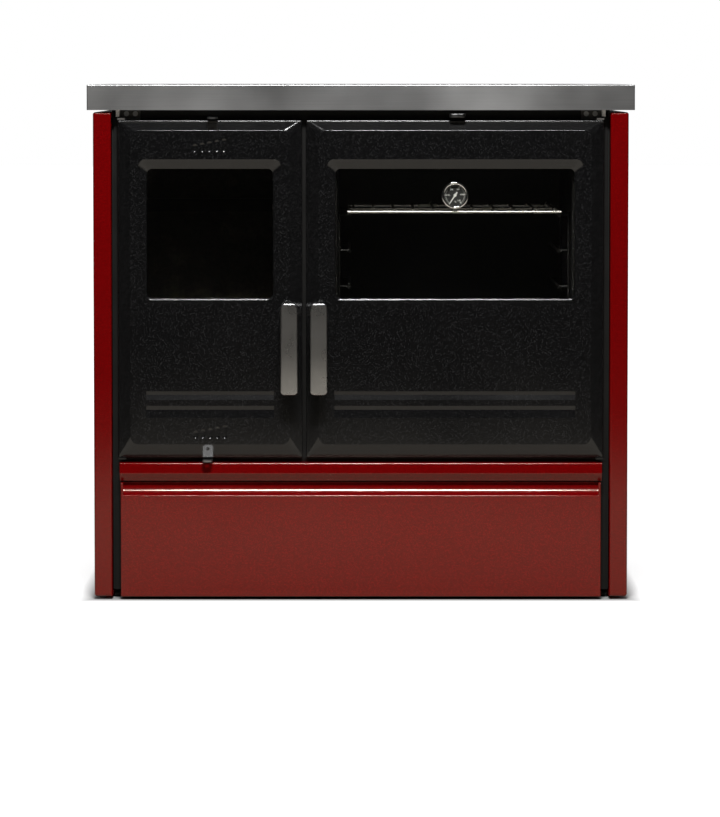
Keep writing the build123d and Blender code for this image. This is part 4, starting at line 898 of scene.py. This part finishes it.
@functools.cache
def braided_rope():
    """Tree of a rope that lies in a rounded loop: a core, with strands wound round it both ways."""
    tree, given, result = new_group(
        "braided_rope",
        "GeometryNodeTree",
        (
            ("Width", "Float", 0.3),
            ("Height", "Float", 0.5),
            ("Corner", "Float", 0.03),
            ("Centre", "Vector", None),
            ("Rope Radius", "Float", 0.0045),
            ("Strand Radius", "Float", 0.001),
            ("Strands", "Int", 8),
            ("Turns", "Float", 60.0),
            ("Steps", "Int", 700),
            ("Material", "Material", None),
        ),
        (("Geometry", "Geometry"),),
    )
    loop = add_node(
        tree,
        "GeometryNodeCurvePrimitiveQuadrilateral",
        {"Width": given["Width"], "Height": given["Height"]},
    )
    rounded = add_node(
        tree,
        "GeometryNodeFilletCurve",
        {"Curve": loop.outputs["Curve"], "Count": CORNER_STEPS, "Radius": given["Corner"]},
        mode="POLY",
    )
    upright = add_node(
        tree,
        "GeometryNodeTransform",
        {
            "Geometry": rounded.outputs["Curve"],
            "Translation": given["Centre"],
            "Rotation": (math.radians(90.0), 0.0, 0.0),
        },
    )
    route = add_node(
        tree, "GeometryNodeResampleCurve", {"Curve": upright.outputs["Geometry"], "Count": given["Steps"]}
    ).outputs["Curve"]
    lay = calculate(tree, "SUBTRACT", given["Rope Radius"], given["Strand Radius"])
    core_ring = add_node(
        tree, "GeometryNodeCurvePrimitiveCircle", {"Resolution": ROPE_SIDES, "Radius": lay}
    )
    core = add_node(
        tree, "GeometryNodeCurveToMesh", {"Curve": route, "Profile Curve": core_ring.outputs["Curve"]}
    )
    copies = add_node(
        tree,
        "GeometryNodeDuplicateElements",
        {"Geometry": route, "Amount": given["Strands"]},
        domain="SPLINE",
    )
    which = copies.outputs["Duplicate Index"]
    along = tree.nodes.new("GeometryNodeSplineParameter").outputs["Factor"]
    odd = calculate(tree, "MODULO", which, 2.0)
    direction = calculate(tree, "SUBTRACT", calculate(tree, "MULTIPLY", odd, 2.0), 1.0)
    turned = calculate(tree, "MULTIPLY", calculate(tree, "MULTIPLY", along, given["Turns"]), direction)
    start = calculate(tree, "DIVIDE", which, given["Strands"])
    phase = calculate(tree, "MULTIPLY", calculate(tree, "ADD", turned, start), 2.0 * math.pi)
    normal = tree.nodes.new("GeometryNodeInputNormal").outputs["Normal"]
    tangent = tree.nodes.new("GeometryNodeInputTangent").outputs["Tangent"]
    side = vector_sum(tree, "CROSS_PRODUCT", {0: tangent, 1: normal})
    reach_normal = calculate(tree, "MULTIPLY", calculate(tree, "COSINE", phase, 0.0), lay)
    reach_side = calculate(tree, "MULTIPLY", calculate(tree, "SINE", phase, 0.0), lay)
    out_normal = vector_sum(tree, "SCALE", {0: normal, "Scale": reach_normal})
    out_side = vector_sum(tree, "SCALE", {0: side, "Scale": reach_side})
    offset = vector_sum(tree, "ADD", {0: out_normal, 1: out_side})
    wound = add_node(
        tree,
        "GeometryNodeSetPosition",
        {"Geometry": copies.outputs["Geometry"], "Offset": offset},
    )
    strand_ring = add_node(
        tree,
        "GeometryNodeCurvePrimitiveCircle",
        {"Resolution": STRAND_SIDES, "Radius": given["Strand Radius"]},
    )
    strands = add_node(
        tree,
        "GeometryNodeCurveToMesh",
        {"Curve": wound.outputs["Geometry"], "Profile Curve": strand_ring.outputs["Curve"]},
    )
    whole = tree.nodes.new("GeometryNodeJoinGeometry")
    tree.links.new(core.outputs["Mesh"], whole.inputs["Geometry"])
    tree.links.new(strands.outputs["Mesh"], whole.inputs["Geometry"])
    finish_tree(tree, result, whole.outputs["Geometry"], given["Material"])
    return tree


@functools.cache
def screw_heads():
    """Tree that sets screw heads with a cross recess evenly along a loop of edges, facing the rear."""
    tree, given, result = new_group(
        "screw_heads",
        "GeometryNodeTree",
        (
            ("Geometry", "Geometry", None),
            ("Count", "Int", 12),
            ("Head Radius", "Float", 0.005),
            ("Head Height", "Float", 0.003),
            ("Material", "Material", None),
        ),
        (("Geometry", "Geometry"),),
    )
    path = add_node(tree, "GeometryNodeMeshToCurve", {"Mesh": given["Geometry"]})
    places = add_node(
        tree,
        "GeometryNodeCurveToPoints",
        {"Curve": path.outputs["Curve"], "Count": given["Count"]},
        mode="COUNT",
    )
    radius = given["Head Radius"]
    height = given["Head Height"]
    body = add_node(
        tree,
        "GeometryNodeMeshCone",
        {
            "Vertices": HEAD_SIDES,
            "Radius Top": calculate(tree, "MULTIPLY", radius, HEAD_TAPER),
            "Radius Bottom": radius,
            "Depth": height,
        },
    )
    slot_length = calculate(tree, "MULTIPLY", radius, SLOT_LENGTH)
    slot_width = calculate(tree, "MULTIPLY", radius, SLOT_WIDTH)
    long_slot = add_node(tree, "ShaderNodeCombineXYZ", {"X": slot_length, "Y": slot_width, "Z": height})
    cross_slot = add_node(tree, "ShaderNodeCombineXYZ", {"X": slot_width, "Y": slot_length, "Z": height})
    lift = add_node(tree, "ShaderNodeCombineXYZ", {"Z": calculate(tree, "MULTIPLY", height, SLOT_LIFT)})
    recess = tree.nodes.new("GeometryNodeMeshBoolean")
    recess.operation = "DIFFERENCE"
    recess.solver = "EXACT"
    tree.links.new(body.outputs["Mesh"], recess.inputs["Mesh 1"])
    for size in (long_slot, cross_slot):
        cutter = add_node(tree, "GeometryNodeMeshCube", {"Size": size.outputs["Vector"]})
        raised = add_node(
            tree,
            "GeometryNodeTransform",
            {"Geometry": cutter.outputs["Mesh"], "Translation": lift.outputs["Vector"]},
        )
        tree.links.new(raised.outputs["Geometry"], recess.inputs["Mesh 2"])
    heads = add_node(
        tree,
        "GeometryNodeInstanceOnPoints",
        {
            "Points": places.outputs["Points"],
            "Instance": recess.outputs["Mesh"],
            "Rotation": (math.radians(-90.0), 0.0, 0.0),
        },
    )
    finish_tree(tree, result, heads.outputs["Instances"], given["Material"])
    return tree


@functools.cache
def dial_marks():
    """Tree that sets thin marks round an arc of the dial."""
    tree, given, result = new_group(
        "dial_marks",
        "GeometryNodeTree",
        (
            ("Centre", "Vector", None),
            ("Count", "Int", 51),
            ("Start", "Float", 0.0),
            ("Sweep", "Float", 5.0),
            ("Radius", "Float", 0.018),
            ("Size", "Vector", None),
            ("Material", "Material", None),
        ),
        (("Geometry", "Geometry"),),
    )
    points = add_node(tree, "GeometryNodePoints", {"Count": given["Count"]})
    index = tree.nodes.new("GeometryNodeInputIndex").outputs["Index"]
    share = calculate(tree, "DIVIDE", index, calculate(tree, "SUBTRACT", given["Count"], 1.0))
    turn = calculate(tree, "ADD", given["Start"], calculate(tree, "MULTIPLY", share, given["Sweep"]))
    across = calculate(tree, "MULTIPLY", calculate(tree, "SINE", turn, 0.0), given["Radius"])
    upward = calculate(tree, "MULTIPLY", calculate(tree, "COSINE", turn, 0.0), given["Radius"])
    spot = add_node(tree, "ShaderNodeCombineXYZ", {"X": across, "Z": upward})
    place = vector_sum(tree, "ADD", {0: spot.outputs["Vector"], 1: given["Centre"]})
    placed = add_node(
        tree, "GeometryNodeSetPosition", {"Geometry": points.outputs["Points"], "Position": place}
    )
    mark = add_node(tree, "GeometryNodeMeshCube", {"Size": given["Size"]})
    lean = add_node(tree, "ShaderNodeCombineXYZ", {"Y": turn})
    marks = add_node(
        tree,
        "GeometryNodeInstanceOnPoints",
        {
            "Points": placed.outputs["Geometry"],
            "Instance": mark.outputs["Mesh"],
            "Rotation": lean.outputs["Vector"],
        },
    )
    finish_tree(tree, result, marks.outputs["Instances"], given["Material"])
    return tree


def lay_rope(door):
    """Lay the braided gasket of one door where its CAD rope lies."""
    detail = bpy.context.scene.cookstove_detail
    node = f"{door}_gasket"
    low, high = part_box(node)
    size = high - low
    radius = detail.rope_radius
    width = size.x - 2 * radius
    height = size.z - 2 * radius
    run = 2 * (width + height) - (8 - 2 * math.pi) * detail.rope_corner
    values = {
        "Width": width,
        "Height": height,
        "Corner": detail.rope_corner,
        "Centre": (low + high) / 2,
        "Rope Radius": radius,
        "Strand Radius": detail.rope_strand,
        "Strands": detail.rope_strands,
        "Turns": float(round(run / detail.rope_pitch)),
        "Material": rope_fibre(),
    }
    mesh = run_tree(braided_rope(), bpy.data.meshes.new(node), values)
    for face in mesh.polygons:
        face.use_smooth = True
    rope = add_piece(f"{door}_rope", mesh, door)
    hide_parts(node)


def dial_centre():
    """Middle of the dial's face."""
    low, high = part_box("thermometer_dial")
    middle = (low + high) / 2
    return Vector((middle.x, low.y, middle.z))


def print_marks(name, count, radius, size, material):
    """Print one ring of marks on the dial."""
    detail = bpy.context.scene.cookstove_detail
    values = {
        "Centre": dial_centre() - Vector((0.0, detail.print_thickness / 2, 0.0)),
        "Count": count,
        "Start": detail.dial_start,
        "Sweep": detail.dial_sweep,
        "Radius": radius,
        "Size": size,
        "Material": material,
    }
    mesh = run_tree(dial_marks(), bpy.data.meshes.new(name), values)
    add_piece(name, mesh, "oven_door")


def figure_mesh(text, height, thickness):
    """A flat mesh of a few characters, upright and facing the front, centred on the origin."""
    curve = bpy.data.curves.new("figure", "FONT")
    curve.body = text
    curve.size = height
    curve.extrude = thickness / 2
    curve.align_x = "CENTER"
    curve.align_y = "CENTER"
    holder = bpy.data.objects.new("figure", curve)
    bpy.context.scene.collection.objects.link(holder)
    bpy.context.view_layer.update()
    mesh = bpy.data.meshes.new_from_object(holder.evaluated_get(bpy.context.evaluated_depsgraph_get()))
    bpy.data.objects.remove(holder)
    mesh.transform(Matrix.Rotation(math.radians(90.0), 4, "X"))
    return mesh


def print_figures(name, rows, material):
    """Print figures on the dial; each row has its text and its place beside the dial's middle."""
    detail = bpy.context.scene.cookstove_detail
    thickness = detail.print_thickness
    whole = bmesh.new()
    for text, across, upward in rows:
        mesh = figure_mesh(text, detail.figure_height, thickness)
        mesh.transform(Matrix.Translation(dial_centre() + Vector((across, -thickness / 2, upward))))
        whole.from_mesh(mesh)
        bpy.data.meshes.remove(mesh)
    mesh = bpy.data.meshes.new(name)
    whole.to_mesh(mesh)
    whole.free()
    mesh.materials.append(material)
    add_piece(name, mesh, "oven_door")


class COOKSTOVE_OT_worktop(bpy.types.Operator):
    """Finish the worktop and the bearers under it"""

    bl_idname = "cookstove.worktop"
    bl_label = "Worktop"

    def execute(self, context):
        dress(brushed_stainless(), "worktop_frame")
        dress(bearer_primer_painted_light(), "worktop_bearers")
        return {"FINISHED"}


class COOKSTOVE_OT_hob(bpy.types.Operator):
    """Finish the hob plate with its ring and lid"""

    bl_idname = "cookstove.hob"
    bl_label = "Hob"

    def execute(self, context):
        dress(ground_iron(), "hob_plate", "hob_ring", "hob_lid")
        return {"FINISHED"}


class COOKSTOVE_OT_red_panels(bpy.types.Operator):
    """Finish the side panels, the trim bar and the drawer front"""

    bl_idname = "cookstove.red_panels"
    bl_label = "Red panels"

    def execute(self, context):
        dress(red_enamel(), "left_side_panel", "right_side_panel", "trim_bar", "drawer_front")
        return {"FINISHED"}


class COOKSTOVE_OT_carcass(bpy.types.Operator):
    """Finish the carcass and the drawer's box, and screw the rear panel on"""

    bl_idname = "cookstove.carcass"
    bl_label = "Carcass"

    def execute(self, context):
        dress(galvanised(), "carcass_floor", "rear_panel")
        dress(galvanised(), "drawer_box", "drawer_runners", "drawer_fixed_runners")
        # The carcass walls take the near-black dark paint; partly painted shade, it keeps the gaps beside
        # the doors and drawer dark
        dress(dark_paint(), "carcass_left_wall", "carcass_right_wall", "front_frame")
        dress(dark_paint(), "base_frame", "levelling_feet")
        detail = context.scene.cookstove_detail
        low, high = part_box("rear_panel")
        x = (low.x + detail.screw_inset, high.x - detail.screw_inset)
        z = (low.z + detail.screw_inset, high.z - detail.screw_inset)
        y = high.y + detail.screw_height / 2
        corners = [(x[0], y, z[0]), (x[1], y, z[0]), (x[1], y, z[1]), (x[0], y, z[1])]
        values = {
            "Count": detail.screw_count,
            "Head Radius": detail.screw_radius,
            "Head Height": detail.screw_height,
            "Material": zinc_fittings(),
        }
        mesh = run_tree(screw_heads(), path_mesh("rear_panel_edge", corners), values)
        add_piece("rear_panel_screws", mesh, "stove_body")
        return {"FINISHED"}


class COOKSTOVE_OT_hinges(bpy.types.Operator):
    """Finish the hinge brackets and their screws"""

    bl_idname = "cookstove.hinges"
    bl_label = "Hinges"

    def execute(self, context):
        dress(hinge_plates_painted_light(), "hinge_brackets")
        dress(zinc_fittings(), "bracket_screws")
        return {"FINISHED"}


class COOKSTOVE_OT_doors(bpy.types.Operator):
    """Finish both doors, their windows and what holds the glass"""

    bl_idname = "cookstove.doors"
    bl_label = "Doors"

    def execute(self, context):
        for door in ("firebox", "oven"):
            dress(black_enamel(), f"{door}_door_panel")
            dress(dark_paint(), f"{door}_door_liner")
            dress(window_glass(), f"{door}_glass")
            dress(zinc_fittings(), f"{door}_glass_clips", f"{door}_clip_screws")
        return {"FINISHED"}


class COOKSTOVE_OT_gaskets(bpy.types.Operator):
    """Lay the braided rope gaskets behind both doors"""

    bl_idname = "cookstove.gaskets"
    bl_label = "Gaskets"

    def execute(self, context):
        for door in ("firebox_door", "oven_door"):
            lay_rope(door)
        return {"FINISHED"}


class COOKSTOVE_OT_handles(bpy.types.Operator):
    """Finish the lever handles and their latches"""

    bl_idname = "cookstove.handles"
    bl_label = "Handles"

    def execute(self, context):
        for door in ("firebox", "oven"):
            dress(satin_steel(), f"{door}_handle")
            dress(zinc_fittings(), f"{door}_spindle", f"{door}_latch_cam")
        dress(zinc_fittings(), "latch_keepers")
        return {"FINISHED"}


class COOKSTOVE_OT_thermometer(bpy.types.Operator):
    """Finish the thermometer and print its dial"""

    bl_idname = "cookstove.thermometer"
    bl_label = "Thermometer"

    def execute(self, context):
        detail = context.scene.cookstove_detail
        dress(polished_steel(), "thermometer_case")
        dress(dial_black(), "thermometer_dial")
        dress(window_glass(), "thermometer_lens")
        dress(dial_white(), "thermometer_needle")
        dress(zinc_fittings(), "thermometer_nut")
        fine_radius = detail.dial_radius - detail.fine_length
        bold_radius = detail.dial_radius - detail.bold_length * BOLD_INSET
        figure_radius = bold_radius - (detail.bold_length + detail.figure_height) * FIGURE_INSET
        fine = (detail.fine_width, detail.print_thickness, detail.fine_length)
        bold = (detail.bold_width, detail.print_thickness, detail.bold_length)
        print_marks("dial_fine_marks", detail.dial_fine, fine_radius, fine, dial_grey())
        print_marks("dial_bold_marks", detail.dial_bold, bold_radius, bold, dial_white())
        rows = [("°C", 0.0, -figure_radius)]
        for step in range(detail.dial_bold):
            turn = detail.dial_start + detail.dial_sweep * step / (detail.dial_bold - 1)
            text = str(DIAL_STEP * step)
            rows.append((text, math.sin(turn) * figure_radius, math.cos(turn) * figure_radius))
        print_figures("dial_figures", rows, dial_white())
        return {"FINISHED"}


class COOKSTOVE_OT_air_controls(bpy.types.Operator):
    """Finish the air slides and the flue damper"""

    bl_idname = "cookstove.air_controls"
    bl_label = "Air controls"

    def execute(self, context):
        dress(slide_steel(), "secondary_air_slide", "primary_air_slide")
        dress(blackened_steel(), "damper_knob")
        dress(fire_steel(), "damper_rod")
        return {"FINISHED"}


class COOKSTOVE_OT_firebox(bpy.types.Operator):
    """Finish the firebox's frame, bricks, grate, ash pan and air bar"""

    bl_idname = "cookstove.firebox"
    bl_label = "Firebox"

    def execute(self, context):
        dress(fire_steel(), "firebox_frame", "ash_pan", "air_manifold")
        dress(firebrick(), "firebox_side_bricks", "firebox_rear_brick")
        dress(raw_casting(), "firebox_grate")
        return {"FINISHED"}


class COOKSTOVE_OT_oven(bpy.types.Operator):
    """Finish the oven's lining, rails and rack"""

    bl_idname = "cookstove.oven"
    bl_label = "Oven"

    def execute(self, context):
        dress(oven_enamel(), "oven_liner")
        dress(plated_wire(), "oven_rack")
        dress(dark_paint(), "oven_side_rails")
        return {"FINISHED"}


class COOKSTOVE_OT_flue(bpy.types.Operator):
    """Finish the flue collar and bolt it on"""

    bl_idname = "cookstove.flue"
    bl_label = "Flue"

    def execute(self, context):
        dress(raw_casting(), "flue_collar")
        detail = context.scene.cookstove_detail
        low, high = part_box("flue_collar")
        middle = (low + high) / 2
        y = low.y + detail.collar_flange + detail.bolt_height / 2
        points = []
        for step in range(CIRCLE_STEPS):
            turn = 2.0 * math.pi * step / CIRCLE_STEPS
            across = detail.bolt_circle * math.sin(turn)
            points.append((middle.x + across, y, middle.z + detail.bolt_circle * math.cos(turn)))
        values = {
            "Count": detail.bolt_count,
            "Head Radius": detail.bolt_radius,
            "Head Height": detail.bolt_height,
            "Material": zinc_fittings(),
        }
        mesh = run_tree(screw_heads(), path_mesh("flue_bolt_circle", points), values)
        add_piece("flue_collar_bolts", mesh, "stove_body")
        return {"FINISHED"}


class COOKSTOVE_OT_studio(bpy.types.Operator):
    """Set up the floor, the light and the camera"""

    bl_idname = "cookstove.studio"
    bl_label = "Studio"

    def execute(self, context):
        scene = context.scene
        studio = scene.cookstove_studio
        mesh = bpy.data.meshes.new("studio_floor")
        sides = ((-1, -1), (1, -1), (1, 1), (-1, 1))
        corners = [(x * FLOOR_REACH, y * FLOOR_REACH, 0.0) for x, y in sides]
        mesh.from_pydata(corners, [], [(0, 1, 2, 3)])
        mesh.materials.append(studio_floor())
        floor = bpy.data.objects.new("studio_floor", mesh)
        scene.collection.objects.link(floor)
        add_lights(scene, studio)
        add_camera(scene, studio)
        scene.view_settings.view_transform = "Standard"
        return {"FINISHED"}


def add_lights(scene, studio):
    """A broad light from above, two softboxes in front, a white backdrop and a dim room before it."""
    sun = bpy.data.lights.new("overhead", "SUN")
    sun.energy = studio.overhead
    sun.angle = studio.overhead_angle
    lamp = bpy.data.objects.new("overhead", sun)
    lamp.visible_glossy = False
    scene.collection.objects.link(lamp)
    low, high = cad_box
    target = Vector((0.0, low.y, (low.z + high.z) / 2))
    for side in (-1, 1):
        softbox = bpy.data.lights.new("softbox", "AREA")
        softbox.shape = "RECTANGLE"
        softbox.size = studio.box_width
        softbox.size_y = studio.box_height
        softbox.energy = studio.box_power
        lamp = bpy.data.objects.new("softbox", softbox)
        lamp.location = (side * studio.box_aside, -studio.box_distance, studio.box_rise)
        lamp.rotation_euler = (target - lamp.location).to_track_quat("-Z", "Y").to_euler()
        scene.collection.objects.link(lamp)
    world = bpy.data.worlds.new("studio")
    world.use_nodes = True
    tree = world.node_tree
    tree.nodes.clear()
    way = tree.nodes.new("ShaderNodeTexCoord").outputs["Generated"]
    depth = add_node(tree, "ShaderNodeSeparateXYZ", {"Vector": way}).outputs["Y"]
    backdrop = spread(tree, depth, studio.surround, 1.0, BACKDROP_START, BACKDROP_END)
    seen = tree.nodes.new("ShaderNodeLightPath").outputs["Is Camera Ray"]
    strength = calculate(tree, "MAXIMUM", seen, backdrop)
    light = add_node(tree, "ShaderNodeBackground", {"Color": (1.0, 1.0, 1.0, 1.0), "Strength": strength})
    add_node(tree, "ShaderNodeOutputWorld", {"Surface": light.outputs[0]})
    scene.world = world


def add_camera(scene, studio):
    """A long lens at the height of the worktop."""
    data = bpy.data.cameras.new("camera")
    data.lens = studio.lens
    data.shift_y = studio.shift
    data.clip_end = SIGHT_REACH
    camera = bpy.data.objects.new("camera", data)
    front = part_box("worktop_frame")[0].y
    camera.location = (studio.aside, front - studio.distance, studio.height)
    camera.rotation_euler = (math.radians(90.0) - studio.tilt, 0.0, 0.0)
    scene.collection.objects.link(camera)
    scene.camera = camera


SETTINGS = {
    "cookstove_finish": CookstoveFinish,
    "cookstove_detail": CookstoveDetail,
    "cookstove_studio": CookstoveStudio,
}

OPERATORS = (
    COOKSTOVE_OT_worktop,
    COOKSTOVE_OT_hob,
    COOKSTOVE_OT_red_panels,
    COOKSTOVE_OT_carcass,
    COOKSTOVE_OT_hinges,
    COOKSTOVE_OT_doors,
    COOKSTOVE_OT_gaskets,
    COOKSTOVE_OT_handles,
    COOKSTOVE_OT_thermometer,
    COOKSTOVE_OT_air_controls,
    COOKSTOVE_OT_firebox,
    COOKSTOVE_OT_oven,
    COOKSTOVE_OT_flue,
    COOKSTOVE_OT_studio,
)


class COOKSTOVE_PT_sidebar(bpy.types.Panel):
    """Buttons and settings of the cookstove"""

    bl_idname = "COOKSTOVE_PT_sidebar"
    bl_label = "Wood cookstove"
    bl_space_type = "VIEW_3D"
    bl_region_type = "UI"
    bl_category = "Cookstove"

    def draw(self, context):
        for operator in OPERATORS:
            self.layout.operator(operator.bl_idname)
        for name, group in SETTINGS.items():
            box = self.layout.box()
            for setting in group.__annotations__:
                box.prop(getattr(context.scene, name), setting)


CLASSES = (*SETTINGS.values(), *OPERATORS, COOKSTOVE_PT_sidebar)


def register():
    for item in CLASSES:
        bpy.utils.register_class(item)
    for name, group in SETTINGS.items():
        setattr(bpy.types.Scene, name, PointerProperty(type=group))


def unregister():
    for name in SETTINGS:
        delattr(bpy.types.Scene, name)
    for item in reversed(CLASSES):
        bpy.utils.unregister_class(item)


def main():
    """Dress the stove piece by piece."""
    register()
    for operator in OPERATORS:
        getattr(bpy.ops.cookstove, operator.bl_idname.split(".")[1])()


if __name__ == "__main__":
    main()
